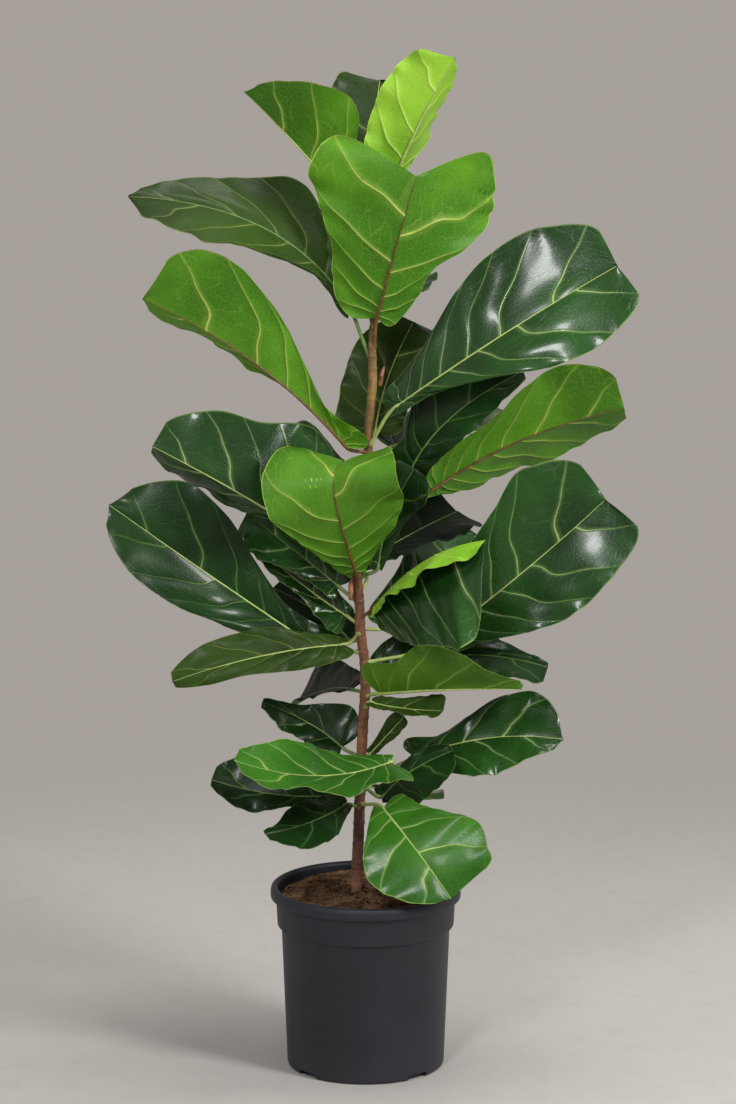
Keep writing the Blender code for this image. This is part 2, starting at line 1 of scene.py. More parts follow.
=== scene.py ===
# Looks of the potted fiddle leaf fig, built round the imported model.
import bpy
import bmesh
import math
import numpy as np
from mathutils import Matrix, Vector


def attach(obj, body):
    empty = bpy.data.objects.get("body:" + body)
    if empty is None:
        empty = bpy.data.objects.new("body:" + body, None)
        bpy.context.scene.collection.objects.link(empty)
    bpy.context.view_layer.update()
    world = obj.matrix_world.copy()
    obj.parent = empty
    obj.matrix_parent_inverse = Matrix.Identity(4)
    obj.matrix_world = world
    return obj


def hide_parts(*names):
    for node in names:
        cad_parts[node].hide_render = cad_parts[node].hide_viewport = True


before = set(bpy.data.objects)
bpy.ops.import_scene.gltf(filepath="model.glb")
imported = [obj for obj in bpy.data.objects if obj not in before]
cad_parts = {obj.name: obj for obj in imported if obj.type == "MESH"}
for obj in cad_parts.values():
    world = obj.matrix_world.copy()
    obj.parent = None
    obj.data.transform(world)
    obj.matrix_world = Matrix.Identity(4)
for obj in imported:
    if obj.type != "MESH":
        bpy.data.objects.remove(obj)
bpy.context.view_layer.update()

MM = 0.001
RNG = np.random.default_rng(11)

# ---- the plant's design, as in the model ----
POT_H, RIM_R, RIM_Z, COLLAR_Z, BASE_R, WALL = 232, 120, 217, 181, 99, 2.6
NOTCH_H, NOTCH_W, NOTCH_AT = 6.5, 32, (-48, 42, 132, 222)
STEM_X, STEM_FOOT, STEM_TOP, GAP, STALK_R = -11, 155, 962, 0.3, 2.3
STEM = ((155, -11, 7.6), (218, -11, 7.6), (251, -11, 7.4), (303, -10, 7.2), (342, -7, 7.1), (393, -5, 6.9),
        (425, -3, 6.8), (483, -1, 6.6), (522, -2, 6.5), (560, -7, 6.4), (598, -8, 6.3), (623, -9, 6.2),
        (662, -4, 6.1), (725, 1, 6.0), (800, 3, 5.9), (838, 7, 5.8), (875, 9, 5.6), (906, 9, 5.3),
        (931, 9, 4.8), (962, 9, 3.4))
LEAVES = (
    ('leaf_01', 334, (-26, -20, 340), (-74, -66, 328), (-124, -100, 324), (-20, 50), (-15, 52),
     (10, 24, 38, 40, 28, 12), (20, 30, 30, 28, 12, 6), (5, 0), (10, 10), (-12, 14), (0.03, 0.03), 3.0, 2.4, 0.0),
    ('leaf_02', 337, (22, -36, 340), (64, -86, 298), (106, -112, 244), (10, 38), (5, 22),
     (28, 40, 60, 82, 74, 58), (14, 44, 70, 74, 50, 20), (14, 4), (12, 2), (10, 10), (-0.01, -0.01), 3.0, 2.4, 1.4),
    ('leaf_03', 350, (6, 26, 354), (24, 110, 326), (44, 190, 292), (10, 66), (10, 72),
     (27, 34, 41, 55, 66, 48), (27, 34, 41, 55, 66, 48), (10, 10), (10, 10), (15, 15), (0.03, 0.03), 4.0, 2.4, 0.0),
    ('leaf_04', 352, (-30, -4, 350), (-110, 10, 346), (-194, 16, 364), (-5, 42), (-5, 50),
     (16, 14, 16, 28, 26, 10), (20, 24, 42, 50, 42, 18), (5, 0), (10, 10), (-8, 15), (0.03, 0.03), 3.0, 2.4, 0.7),
    ('leaf_05', 358, (22, 12, 344), (58, -2, 380), (110, -10, 408), (5, 42), (5, 45),
     (14, 10, 14, 18, 16, 6), (10, 30, 52, 48, 46, 20), (12, 8), (8, 8), (12, 12), (0.03, 0.03), 2.0, 2.4, 0.0),
    ('leaf_06', 366, (62, 34, 388), (152, 22, 416), (248, 8, 418), (5, 48), (8, 50),
     (26, 18, 34, 54, 58, 28), (20, 38, 56, 52, 32, 16), (14, 8), (4, 0), (16, -6), (-0.01, -0.01), 3.0, 2.4, 0.2),
    ('leaf_07', 376, (30, -48, 402), (-64, -92, 396), (-162, -124, 424), (-25, 62), (-20, 66),
     (50, 38, 52, 30, 38, 20), (12, 32, 44, 56, 38, 22), (8, 4), (12, 10), (-10, 16), (0.00, 0.00), 4.0, 2.4, 0.0),
    ('leaf_08', 394, (6, -18, 406), (24, -34, 430), (48, -44, 460), (0, 25), (10, 40),
     (6, 7, 9, 12, 14, 10), (5, 7, 8, 11, 13, 9), (14, 14), (14, 14), (15, 15), (0.03, 0.03), 1.0, 2.4, 0.0),
    ('leaf_09', 398, (-30, 8, 408), (-72, 22, 436), (-130, 24, 462), (-10, 38), (-10, 42),
     (14, 26, 28, 30, 20, 8), (32, 46, 32, 16, 10, 6), (8, 8), (10, 10), (15, 15), (0.03, 0.03), 3.0, 2.4, 0.0),
    ('leaf_10', 462, (8, -30, 474), (50, -54, 472), (96, -74, 474), (0, 66), (0, 66),
     (11, 14, 16, 22, 26, 19), (11, 14, 16, 22, 26, 19), (10, 10), (10, 10), (15, 15), (0.03, 0.03), 1.5, 2.4, 0.0),
    ('leaf_11', 476, (16, -22, 484), (100, -62, 498), (192, -86, 504), (182, 30), (178, 34),
     (16, 20, 24, 34, 38, 22), (44, 44, 66, 58, 24, 10), (55, 50), (5, 8), (15, 18), (0.03, 0.03), 3.0, 2.4, 0.0),
    ('leaf_12', 480, (-18, 26, 478), (-46, 90, 464), (-86, 150, 436), (-20, 60), (-20, 60),
     (24, 31, 37, 50, 60, 43), (24, 31, 37, 50, 60, 43), (10, 10), (10, 10), (15, 15), (0.03, 0.03), 4.0, 2.4, 0.0),
    ('leaf_13', 492, (20, 20, 492), (116, 16, 524), (228, 10, 510), (0, 48), (5, 55),
     (28, 46, 42, 32, 14, 6), (22, 28, 30, 40, 44, 28), (12, 12), (6, 4), (14, 10), (0.03, 0.03), 3.0, 2.4, 0.0),
    ('leaf_14', 518, (82, -10, 544), (200, -20, 642), (296, -24, 730), (10, 34), (12, 34),
     (30, 54, 68, 84, 98, 52), (22, 40, 68, 84, 78, 52), (14, 10), (6, 0), (14, 8), (0.06, 0.06), 3.0, 2.4, 1.1),
    ('leaf_15', 532, (-62, -8, 540), (-192, -42, 638), (-316, -38, 726), (-15, 45), (-10, 42),
     (20, 34, 46, 58, 52, 22), (24, 24, 46, 74, 76, 32), (0, -6), (22, 18), (-8, 12), (0.00, 0.00), 3.0, 2.4, 2.2),
    ('leaf_16', 548, (-20, 22, 542), (-60, 84, 564), (-118, 144, 584), (-15, 60), (-20, 60),
     (22, 29, 34, 46, 55, 40), (22, 29, 34, 46, 55, 40), (10, 10), (10, 10), (15, 15), (0.03, 0.03), 4.0, 2.4, 0.0),
    ('leaf_17', 556, (-28, -40, 550), (-132, -72, 542), (-238, -80, 512), (0, 55), (-5, 50),
     (20, 28, 26, 20, 18, 8), (12, 22, 34, 36, 30, 12), (10, -30), (10, 15), (-30, 18), (0.03, 0.03), 3.0, 2.4, 0.0),
    ('leaf_18', 560, (28, 34, 558), (94, 130, 600), (148, 200, 636), (30, 60), (30, 66),
     (29, 38, 45, 60, 72, 52), (29, 38, 45, 60, 72, 52), (10, 10), (10, 10), (15, 15), (0.03, 0.03), 4.0, 2.4, 0.0),
    ('leaf_19', 568, (-24, 10, 576), (-76, 16, 612), (-138, 16, 664), (-10, 40), (-10, 45),
     (34, 26, 18, 16, 14, 6), (12, 20, 32, 44, 52, 36), (10, 10), (10, 10), (15, 15), (0.03, 0.03), 3.0, 2.4, 1.0),
    ('leaf_20', 577, (10, -18, 592), (72, -74, 662), (146, -104, 694), (20, 44), (30, 46),
     (12, 28, 44, 52, 46, 26), (34, 80, 104, 124, 140, 98), (138, 150), (0, -8), (12, -10), (0.00, 0.00), 6.0, 2.4, 0.4),
    ('leaf_21', 597, (-34, 8, 614), (-78, 12, 650), (-148, 10, 706), (-10, 40), (-10, 45),
     (20, 24, 28, 40, 46, 32), (20, 18, 24, 32, 34, 14), (10, 10), (10, 10), (15, 15), (0.03, 0.03), 3.0, 2.4, 0.0),
    ('leaf_22', 604, (-2, 70, 620), (-58, 160, 650), (-124, 212, 658), (-30, 60), (-30, 66),
     (18, 23, 27, 37, 44, 32), (24, 31, 37, 50, 60, 43), (10, 10), (10, 10), (15, 15), (0.03, 0.03), 4.0, 2.4, 0.0),
    ('leaf_23', 614, (-12, -24, 638), (-38, -94, 750), (-28, -48, 780), (180, 5), (182, -48),
     (14, 42, 70, 84, 76, 46), (14, 36, 60, 84, 84, 50), (6, -38), (6, 0), (10, 10), (0.12, 0.12), 3.0, 2.4, 0.0),
    ('leaf_24', 628, (16, -12, 644), (30, -16, 706), (60, -20, 768), (10, 35), (5, 40),
     (10, 14, 20, 28, 30, 20), (6, 14, 18, 26, 40, 20), (12, 12), (8, 8), (15, 15), (0.03, 0.03), 3.0, 2.4, 0.0),
    ('leaf_25', 640, (-38, -18, 662), (-146, -34, 734), (-262, -34, 798), (-10, 30), (-5, 30),
     (22, 30, 20, 28, 32, 14), (34, 92, 116, 90, 74, 34), (-62, -58), (5, 6), (-15, 10), (0.03, 0.03), 4.0, 2.4, 0.3),
    ('leaf_26', 641, (4, -10, 648), (0, -18, 664), (-4, -14, 680), (-20, 10), (-40, 10),
     (6, 7, 8, 10, 12, 9), (5, 6, 7, 9, 11, 8), (40, 50), (40, 50), (40, 40), (0.03, 0.03), 0.5, 2.4, 0.0),
    ('leaf_27', 655, (12, 22, 650), (58, 84, 666), (116, 150, 682), (15, 60), (20, 60),
     (22, 29, 34, 46, 55, 40), (22, 29, 34, 46, 55, 40), (10, 10), (10, 10), (15, 15), (0.03, 0.03), 4.0, 2.4, 0.0),
    ('leaf_28', 690, (-12, 28, 694), (-26, 110, 704), (-46, 210, 698), (-10, 62), (-10, 70),
     (31, 40, 47, 64, 76, 55), (31, 40, 47, 64, 76, 55), (10, 10), (10, 10), (15, 15), (0.03, 0.03), 4.0, 2.4, 0.0),
    ('leaf_29', 715, (-16, 38, 722), (-84, 130, 740), (-138, 190, 748), (-25, 60), (-30, 66),
     (27, 34, 41, 55, 66, 48), (27, 34, 41, 55, 66, 48), (10, 10), (10, 10), (15, 15), (0.03, 0.03), 4.0, 2.4, 0.0),
    ('leaf_30', 728, (80, 30, 730), (194, 48, 792), (322, 44, 832), (182, 30), (182, 38),
     (8, 48, 62, 70, 54, 22), (26, 34, 44, 68, 76, 44), (14, 8), (5, 12), (12, 18), (0.03, 0.03), 3.0, 2.4, 2.0),
    ('leaf_31', 758, (56, 10, 760), (106, -8, 830), (194, -10, 888), (10, 42), (10, 45),
     (34, 30, 56, 72, 62, 44), (20, 28, 40, 36, 28, 12), (12, 12), (8, 8), (15, 15), (0.03, 0.03), 3.0, 2.4, 0.0),
    ('leaf_32', 778, (32, 32, 786), (94, 108, 800), (160, 170, 816), (20, 62), (30, 70),
     (24, 31, 37, 50, 60, 43), (24, 31, 37, 50, 60, 43), (10, 10), (10, 10), (15, 15), (0.03, 0.03), 4.0, 2.4, 0.0),
    ('leaf_33', 785, (-24, -14, 794), (-136, -44, 904), (-272, -42, 982), (180, 20), (178, 28),
     (28, 18, 44, 80, 98, 66), (12, 20, 28, 36, 34, 18), (0, 4), (80, 14), (8, 14), (0.00, 0.00), 4.0, 2.4, 1.5),
    ('leaf_34', 795, (38, -24, 846), (166, -60, 940), (306, -52, 1024), (-5, 42), (4, 46),
     (22, 44, 74, 94, 90, 50), (8, 18, 44, 70, 74, 44), (12, 8), (0, -12), (18, -8), (0.05, 0.05), 3.0, 2.1, 0.8),
    ('leaf_35', 800, (12, 24, 806), (28, 62, 868), (60, 94, 934), (-10, 30), (0, 40),
     (48, 52, 54, 54, 42, 18), (32, 36, 40, 52, 60, 44), (8, 8), (8, 8), (15, 15), (0.03, 0.03), 4.0, 2.4, 0.0),
    ('leaf_36', 903, (-22, 4, 968), (-128, 10, 1064), (-290, 0, 1102), (-20, 50), (-5, 66),
     (12, 14, 44, 86, 80, 54), (12, 22, 78, 58, 38, 16), (10, 5), (14, 8), (10, 12), (-0.01, -0.01), 3.0, 2.4, 0.5),
    ('leaf_37', 918, (14, -14, 954), (38, -42, 1048), (62, -48, 1132), (178, 5), (180, 30),
     (24, 44, 54, 94, 126, 84), (44, 70, 82, 108, 132, 98), (8, 14), (10, 14), (22, 22), (0.30, 0.15), 4.0, 2.4, 2.0),
    ('leaf_38', 930, (10, 26, 956), (14, 110, 960), (18, 180, 962), (0, 62), (0, 70),
     (32, 42, 50, 67, 80, 58), (32, 42, 50, 67, 80, 58), (10, 10), (10, 10), (15, 15), (0.03, 0.03), 4.0, 2.4, 0.0),
    ('leaf_39', 940, (16, 78, 1070), (12, 132, 1158), (18, 176, 1228), (0, 30), (0, 40),
     (25, 32, 39, 52, 62, 45), (25, 32, 39, 52, 62, 45), (10, 10), (10, 10), (20, 20), (0.03, 0.03), 4.0, 2.4, 0.0),
    ('leaf_40', 950, (-16, 44, 1082), (-92, 62, 1166), (-150, 84, 1222), (160, 20), (150, 30),
     (36, 44, 94, 94, 58, 24), (24, 32, 42, 58, 70, 50), (5, 0), (80, 85), (15, 10), (-0.02, -0.02), 5.0, 2.4, 1.0),
    ('leaf_41', 958, (32, 22, 1108), (60, 14, 1178), (108, 0, 1272), (180, 10), (170, 20),
     (22, 34, 82, 46, 34, 14), (24, 50, 60, 62, 56, 36), (60, 55), (8, 12), (30, 18), (-0.02, -0.02), 3.0, 2.4, 0.0),
)
SHEATHS = (
    ('sheath_01', (-18, -7, 600), (-16, -12, 630), 3.2),
    ('sheath_02', (0, -10.5, 678), (-2, -14, 704), 3.0),
    ('sheath_03', (18, 1, 868), (24, -4, 892), 2.6),
    ('end_bud', (9, 0, 962.6), (11, -1, 994), 4.2),
)
# upper side, under side, rib and record slot of each leaf
LOOKS = {
    'leaf_01': ('dark', 'mid', 'green', 'leaf_dark'),
    'leaf_02': ('bright', 'mid', 'pale', 'leaf_dark'),
    'leaf_03': ('deep', 'mid', 'pale', 'leaf_dark'),
    'leaf_04': ('dark', 'mid', 'green', 'leaf_dark'),
    'leaf_05': ('dark', 'mid', 'green', 'leaf_dark'),
    'leaf_06': ('deep', 'mid', 'pale', 'leaf_dark'),
    'leaf_07': ('bright', 'mid', 'pale', 'leaf_dark'),
    'leaf_08': ('olive', 'mid', 'pale', 'leaf_dark'),
    'leaf_09': ('dark', 'mid', 'green', 'leaf_dark'),
    'leaf_10': ('olive', 'mid', 'pale', 'leaf_dark'),
    'leaf_11': ('mid', 'olive_under', 'pale', 'leaf_bright'),
    'leaf_12': ('black', 'mid', 'green', 'leaf_dark'),
    'leaf_13': ('dark', 'mid', 'green', 'leaf_dark'),
    'leaf_14': ('deep', 'mid', 'pale', 'leaf_dark'),
    'leaf_15': ('dark', 'mid', 'pale', 'leaf_dark'),
    'leaf_16': ('black', 'mid', 'green', 'leaf_dark'),
    'leaf_17': ('olive', 'mid', 'pale', 'leaf_dark'),
    'leaf_18': ('deep', 'mid', 'pale', 'leaf_dark'),
    'leaf_19': ('deep', 'mid', 'pale', 'leaf_dark'),
    'leaf_20': ('deep', 'painted_backlight', 'brown', 'leaf_dark'),
    'leaf_21': ('deep', 'mid', 'green', 'leaf_dark'),
    'leaf_22': ('deep', 'mid', 'pale', 'leaf_dark'),
    'leaf_23': ('young', 'heart', 'brown', 'leaf_young'),
    'leaf_24': ('dark', 'mid', 'green', 'leaf_dark'),
    'leaf_25': ('deep', 'mid', 'pale', 'leaf_dark'),
    'leaf_26': ('young', 'painted_backlight', 'pale', 'leaf_young'),
    'leaf_27': ('black', 'mid', 'green', 'leaf_dark'),
    'leaf_28': ('deep', 'mid', 'pale', 'leaf_dark'),
    'leaf_29': ('deep', 'mid', 'pale', 'leaf_dark'),
    'leaf_30': ('mid', 'bright', 'brown', 'leaf_bright'),
    'leaf_31': ('dark', 'mid', 'green', 'leaf_dark'),
    'leaf_32': ('deep', 'mid', 'pale', 'leaf_dark'),
    'leaf_33': ('mid', 'bright', 'brown', 'leaf_bright'),
    'leaf_34': ('deep', 'mid', 'pale', 'leaf_dark'),
    'leaf_35': ('olive', 'mid', 'pale', 'leaf_dark'),
    'leaf_36': ('olive', 'mid', 'green', 'leaf_dark'),
    'leaf_37': ('mid', 'bright', 'brown', 'leaf_bright'),
    'leaf_38': ('deep', 'mid', 'pale', 'leaf_dark'),
    'leaf_39': ('olive', 'mid', 'pale', 'leaf_dark'),
    'leaf_40': ('mid', 'bright', 'pale', 'leaf_bright'),
    'leaf_41': ('young', 'painted_backlight', 'pale', 'leaf_young'),
}

ROW_A = np.array([0, .08, .16, .35, .50, .65, .80, .92, 1.0])
MARGIN_U = np.array([0, -.045, -.02, .20, .40, .61, .82, .965, 1.0])
MIDRIB_U = np.array([0, .008, .02, .06, .16, .32, .53, .80, 1.0])
NOTCH_K = np.array([0, 0, 0, 0, 0, 0, .25, 1, 0.0])


def spline(x, y, q):
    x, y, q = (np.asarray(v, float) for v in (x, y, q))
    m = np.gradient(y, x)
    i = np.clip(np.searchsorted(x, q, side='right') - 1, 0, len(x) - 2)
    h = x[i + 1] - x[i]
    t = (q - x[i]) / h
    return ((2 * t**3 - 3 * t**2 + 1) * y[i] + (t**3 - 2 * t**2 + t) * h * m[i]
            + (-2 * t**3 + 3 * t**2) * y[i + 1] + (t**3 - t**2) * h * m[i + 1])


def unit(v):
    v = np.asarray(v, float)
    return v / np.maximum(np.linalg.norm(v, axis=-1, keepdims=True), 1e-12)


def look(bearing, height):
    a, e = math.radians(bearing), math.radians(height)
    return np.array([math.sin(a) * math.cos(e), -math.cos(a) * math.cos(e), math.sin(e)])


def stem_at(z):
    zs = [s[0] for s in STEM]
    return (float(np.interp(z, zs, [s[1] for s in STEM])), 0.0, float(np.interp(z, zs, [s[2] for s in STEM])))


def pattern(a, b, w, notch):
    mv = np.array([0, .62 * w[0], w[0], w[1], w[2], w[3], w[4], w[5], 0])
    um = spline(ROW_A, MARGIN_U + NOTCH_K * notch, a)
    vm = np.maximum(spline(ROW_A, mv, a), 0)
    e = np.clip((a - .92) / .08, 0, 1)
    vm = np.where(a > .92, w[5] * np.sqrt(np.maximum(1 - e**2, 0)) * (1 - .25 * e), vm)
    um = np.where(a > .92, 1 + (MARGIN_U[7] + notch - 1) * np.sqrt(np.maximum(1 - e**2, 0)), um)
    u0 = spline(ROW_A, MIDRIB_U, a)
    # rows leave the midrib at a slant and sweep towards the tip, as the side veins do
    return u0 + (um - u0) * (0.62 * b + 0.38 * b * b), vm * b


def midrib(p0, p1, p2, n=120):
    p0, p1, p2 = (np.asarray(p, float) for p in (p0, p1, p2))
    c = 2 * p1 - 0.5 * (p0 + p2)
    t = np.linspace(0, 1, 600)[:, None]
    q = (1 - t)**2 * p0 + 2 * t * (1 - t) * c + t * t * p2
    s = np.concatenate([[0], np.cumsum(np.linalg.norm(np.diff(q, axis=0), axis=1))])
    k = np.linspace(0, s[-1], n)
    pts = np.stack([np.interp(k, s, q[:, i]) for i in range(3)], 1)
    return pts, unit(np.gradient(pts, axis=0)), s[-1]


class Leaf:
    def __init__(self, row):
        (self.name, self.z, base, mid, tip, f0, f1, wl, wr, self.fl, self.fr, self.curl,
         self.notch, self.wave, self.freq, self.phase) = row
        self.pts, self.tan, self.length = midrib(base, mid, tip)
        self.face0, self.face1 = look(*f0), look(*f1)
        self.w = {1: np.array(wl, float), -1: np.array(wr, float)}
        self.seed = int(self.name[-2:])

    def frame(self, u):
        n = len(self.pts)
        uc = np.clip(u, 0, 1)
        k = uc * (n - 1)
        i = np.clip(k.astype(int), 0, n - 2)
        f = (k - i)[..., None]
        m = self.pts[i] * (1 - f) + self.pts[i + 1] * f
        t = unit(self.tan[i] * (1 - f) + self.tan[i + 1] * f)
        m = m + t * ((u - uc) * self.length)[..., None]
        h = self.face0 * (1 - uc[..., None]) + self.face1 * uc[..., None]
        nn = unit(h - (h * t).sum(-1, keepdims=True) * t)
        return m, t, nn, np.cross(nn, t)

    def surface(self, a, b, side):
        """middle surface, its normal, and the flat coordinates (mm)"""
        w = self.w[side]
        u, vmm = pattern(a, b, w, self.notch[0 if side > 0 else 1])
        wide = w.max()
        v = vmm / wide
        m, t, n, left = self.frame(u)
        uc = np.clip(u, 0, 1)
        f0, f1 = self.fl if side > 0 else self.fr
        phi = np.radians(f0 + (f1 - f0) * uc)
        c = self.curl[0] if side > 0 else self.curl[1]
        kap = math.radians(c if abs(c) > 0.5 else 0.5)
        x = (np.sin(phi + kap * v) - np.sin(phi)) / kap
        y = (np.cos(phi) - np.cos(phi + kap * v)) / kap
        ph = self.phase + (1.9 if side < 0 else 0)
        wv = self.wave * np.abs(v)**1.7 * (np.sin(2 * math.pi * self.freq * u + ph)
                                           + 0.45 * np.sin(4.6 * math.pi * self.freq * u + 2.1 * ph))
        # finer ripples right at the margin
        sd = self.seed * 1.7 + (0.9 if side < 0 else 0)
        wv = wv + min(self.wave, 3) * 0.30 * np.abs(b)**6 * (np.sin(2 * math.pi * 7.3 * u + sd) + 0.6 * np.sin(2 * math.pi * 12.1 * u + 2.3 * sd))
        ang = phi + kap * v
        nn = n * np.cos(ang)[..., None] - left * (side * np.sin(ang))[..., None]
        p = m + left * (side * wide * x)[..., None] + n * (wide * y)[..., None] + nn * wv[..., None]
        return p, nn, u * self.length, vmm * side


# ---- node helpers ----
class Nodes:
    def __init__(self, name):
        self.mat = bpy.data.materials.new(name)
        self.mat.use_nodes = True
        self.t = self.mat.node_tree
        self.bsdf = self.t.nodes['Principled BSDF']

    def new(self, kind, **props):
        n = self.t.nodes.new(kind)
        for k, v in props.items():
            setattr(n, k, v)
        return n

    def link(self, a, b):
        self.t.links.new(a, b)

    def put(self, socket, value):
        if hasattr(value, 'is_output'):
            self.link(value, socket)
        else:
            socket.default_value = value

    def math(self, op, a, b=0.0, c=0.0, clamp=False):
        n = self.new('ShaderNodeMath', operation=op, use_clamp=clamp)
        for i, v in enumerate((a, b, c)):
            self.put(n.inputs[i], v)
        return n.outputs[0]

    def mix(self, fac, a, b, blend='MIX'):
        n = self.new('ShaderNodeMix', data_type='RGBA', blend_type=blend)
        self.put(n.inputs[0], fac)
        self.put(n.inputs[6], a if hasattr(a, 'is_output') else (*a, 1))
        self.put(n.inputs[7], b if hasattr(b, 'is_output') else (*b, 1))
        return n.outputs[2]

    def ramp(self, x, lo, hi, a=0.0, b=1.0, smooth=True):
        n = self.new('ShaderNodeMapRange', interpolation_type='SMOOTHSTEP' if smooth else 'LINEAR')
        self.put(n.inputs[0], x)
        for i, v in enumerate((lo, hi, a, b)):
            self.put(n.inputs[i + 1], v)
        return n.outputs[0]

    def noise(self, vec, scale, detail=4, rough=0.55, dist=0.0, out='Fac'):
        n = self.new('ShaderNodeTexNoise')
        if vec is not None:
            self.link(vec, n.inputs['Vector'])
        n.inputs['Scale'].default_value = scale
        n.inputs['Detail'].default_value = detail
        n.inputs['Roughness'].default_value = rough
        n.inputs['Distortion'].default_value = dist
        return n.outputs[out]

    def voronoi(self, vec, scale, feature='DISTANCE_TO_EDGE', rnd=1.0, dims='3D', out='Distance'):
        n = self.new('ShaderNodeTexVoronoi', feature=feature, voronoi_dimensions=dims)
        if vec is not None:
            self.link(vec, n.inputs['Vector'])
        n.inputs['Scale'].default_value = scale
        n.inputs['Randomness'].default_value = rnd
        return n.outputs[out]

    def uv(self, name):
        return self.new('ShaderNodeUVMap', uv_map=name).outputs[0]

    def coord(self, out='Object'):
        return self.new('ShaderNodeTexCoord').outputs[out]

    def sep(self, vec):
        n = self.new('ShaderNodeSeparateXYZ')
        self.link(vec, n.inputs[0])
        return n.outputs

    def comb(self, x, y, z=0.0):
        n = self.new('ShaderNodeCombineXYZ')
        for i, v in enumerate((x, y, z)):
            self.put(n.inputs[i], v)
        return n.outputs[0]

    def bump(self, height, strength=1.0, dist=0.001, normal=None):
        n = self.new('ShaderNodeBump')
        n.inputs['Strength'].default_value = strength
        n.inputs['Distance'].default_value = dist
        self.link(height, n.inputs['Height'])
        if normal is not None:
            self.link(normal, n.inputs['Normal'])
        return n.outputs[0]

    def finish(self, color=None, rough=None, normal=None, **sockets):
        b = self.bsdf
        if color is not None:
            self.put(b.inputs['Base Color'], color if hasattr(color, 'is_output') else (*color, 1))
        if rough is not None:
            self.put(b.inputs['Roughness'], rough)
        if normal is not None:
            self.link(normal, b.inputs['Normal'])
        for k, v in sockets.items():
            b.inputs[k.replace('_', ' ')].default_value = v
        return self.mat


def srgb(r, g, b):
    f = lambda c: ((c / 255 + 0.055) / 1.055)**2.4 if c > 10 else c / 255 / 12.92
    return (f(r), f(g), f(b))


def blade_material(name, low, high, vein, rough, vein_w, vein_k, net_k, under=False, coat=0.0, spec=0.3):
    """leaf skin: side veins along the rows, a fine net between them, mottling, waxy gloss"""
    m = Nodes(name)
    s, b, _ = m.sep(m.uv('vein'))
    flat = m.uv('flat')
    obj = m.coord('Object')
    frac = m.math('FRACT', m.math('ADD', s, 0.5))
    d = m.math('ABSOLUTE', m.math('SUBTRACT', frac, 0.5))
    wob = m.noise(flat, 60, 2)
    d = m.math('ABSOLUTE', m.math('ADD', d, m.math('MULTIPLY', m.math('SUBTRACT', wob, 0.5), 0.02)))
    w = m.math('MULTIPLY', m.math('SUBTRACT', 1.06, m.math('MULTIPLY', b, 0.72)), vein_w)
    vmask = m.math('SUBTRACT', 1.0, m.ramp(m.math('DIVIDE', d, w), 0.35, 1.1))
    fade = m.math('SUBTRACT', 1.0, m.math('MULTIPLY', m.ramp(b, 0.25, 1.0), 0.62))
    brk = m.ramp(m.noise(flat, 34, 3), 0.25, 0.62, 0.62, 1.0)
    vmask = m.math('MULTIPLY', m.math('MULTIPLY', vmask, fade), brk)
    halo = m.math('SUBTRACT', 1.0, m.ramp(m.math('DIVIDE', d, w), 0.6, 6.0))
    # net of small veins: long cells between the side veins, then a finer one
    cell = m.comb(m.math('MULTIPLY', s, 1.7), m.math('MULTIPLY', b, 9.5), 0.0)
    jig = m.noise(cell, 1.3, 2, out='Color')
    vadd = m.new('ShaderNodeVectorMath', operation='MULTIPLY_ADD')
    m.link(jig, vadd.inputs[0])
    vadd.inputs[1].default_value = (0.55, 0.55, 0)
    m.link(cell, vadd.inputs[2])
    e1 = m.voronoi(vadd.outputs[0], 1.0, dims='2D')
    net1 = m.math('SUBTRACT', 1.0, m.ramp(e1, 0.006, 0.05))
    e2 = m.voronoi(flat, 210, dims='2D')
    net2 = m.math('SUBTRACT', 1.0, m.ramp(e2, 0.02, 0.14))
    net = m.math('MAXIMUM', m.math('MULTIPLY', net1, m.ramp(m.noise(flat, 22, 2), 0.35, 0.7, 0.25, 1.0)), m.math('MULTIPLY', net2, 0.3))
    big = m.ramp(m.noise(obj, 7, 3), 0.35, 0.68)
    fine = m.noise(flat, 260, 5, 0.65)
    col = m.mix(big, low, high)
    col = m.mix(m.math('MULTIPLY', m.ramp(fine, 0.35, 0.75), 0.22), col, tuple(c * 1.55 for c in high))
    # the blade is lighter towards the veins and at the very edge
    col = m.mix(m.math('MULTIPLY', halo, 0.30 * vein_k), col, tuple(0.5 * a + 0.5 * b2 for a, b2 in zip(high, vein)))
    col = m.mix(m.math('MULTIPLY', net, net_k), col, vein)
    col = m.mix(m.math('MULTIPLY', vmask, vein_k), col, vein)
    edge = m.ramp(b, 0.982, 1.0)
    col = m.mix(m.math('MULTIPLY', edge, 0.55), col, tuple(min(1, c * 1.1) for c in vein))
    # a few small brown flecks
    fleck = m.ramp(m.noise(obj, 95, 2, 0.4), 0.735, 0.765)
    col = m.mix(m.math('MULTIPLY', fleck, 0.5), col, (0.09, 0.055, 0.02))
    h = m.math('MULTIPLY', net, 0.5 if under else -0.45)
    h = m.math('ADD', h, m.math('MULTIPLY', vmask, 1.0 if under else -0.9))
    h = m.math('ADD', h, m.math('MULTIPLY', fine, 0.22))
    normal = m.bump(h, 0.55 if under else 0.42, 0.0006)
    r = m.math('ADD', m.math('MULTIPLY', m.noise(obj, 28, 4), 0.16), rough - 0.08)
    r = m.math('ADD', r, m.math('MULTIPLY', m.math('ADD', vmask, net), 0.05))
    return m.finish(col, r, normal, IOR=1.42, Specular_IOR_Level=spec, Coat_Weight=coat, Coat_Roughness=0.12)


def rib_material(name, low, high, rough=0.45):
    m = Nodes(name)
    flat = m.uv('flat')
    n = m.noise(flat, 90, 4)
    col = m.mix(m.ramp(n, 0.3, 0.7), low, high)
    fib = m.noise(m.coord('Object'), 420, 3)
    normal = m.bump(fib, 0.25, 0.0004)
    return m.finish(col, m.math('ADD', m.math('MULTIPLY', n, 0.15), rough - 0.07), normal)


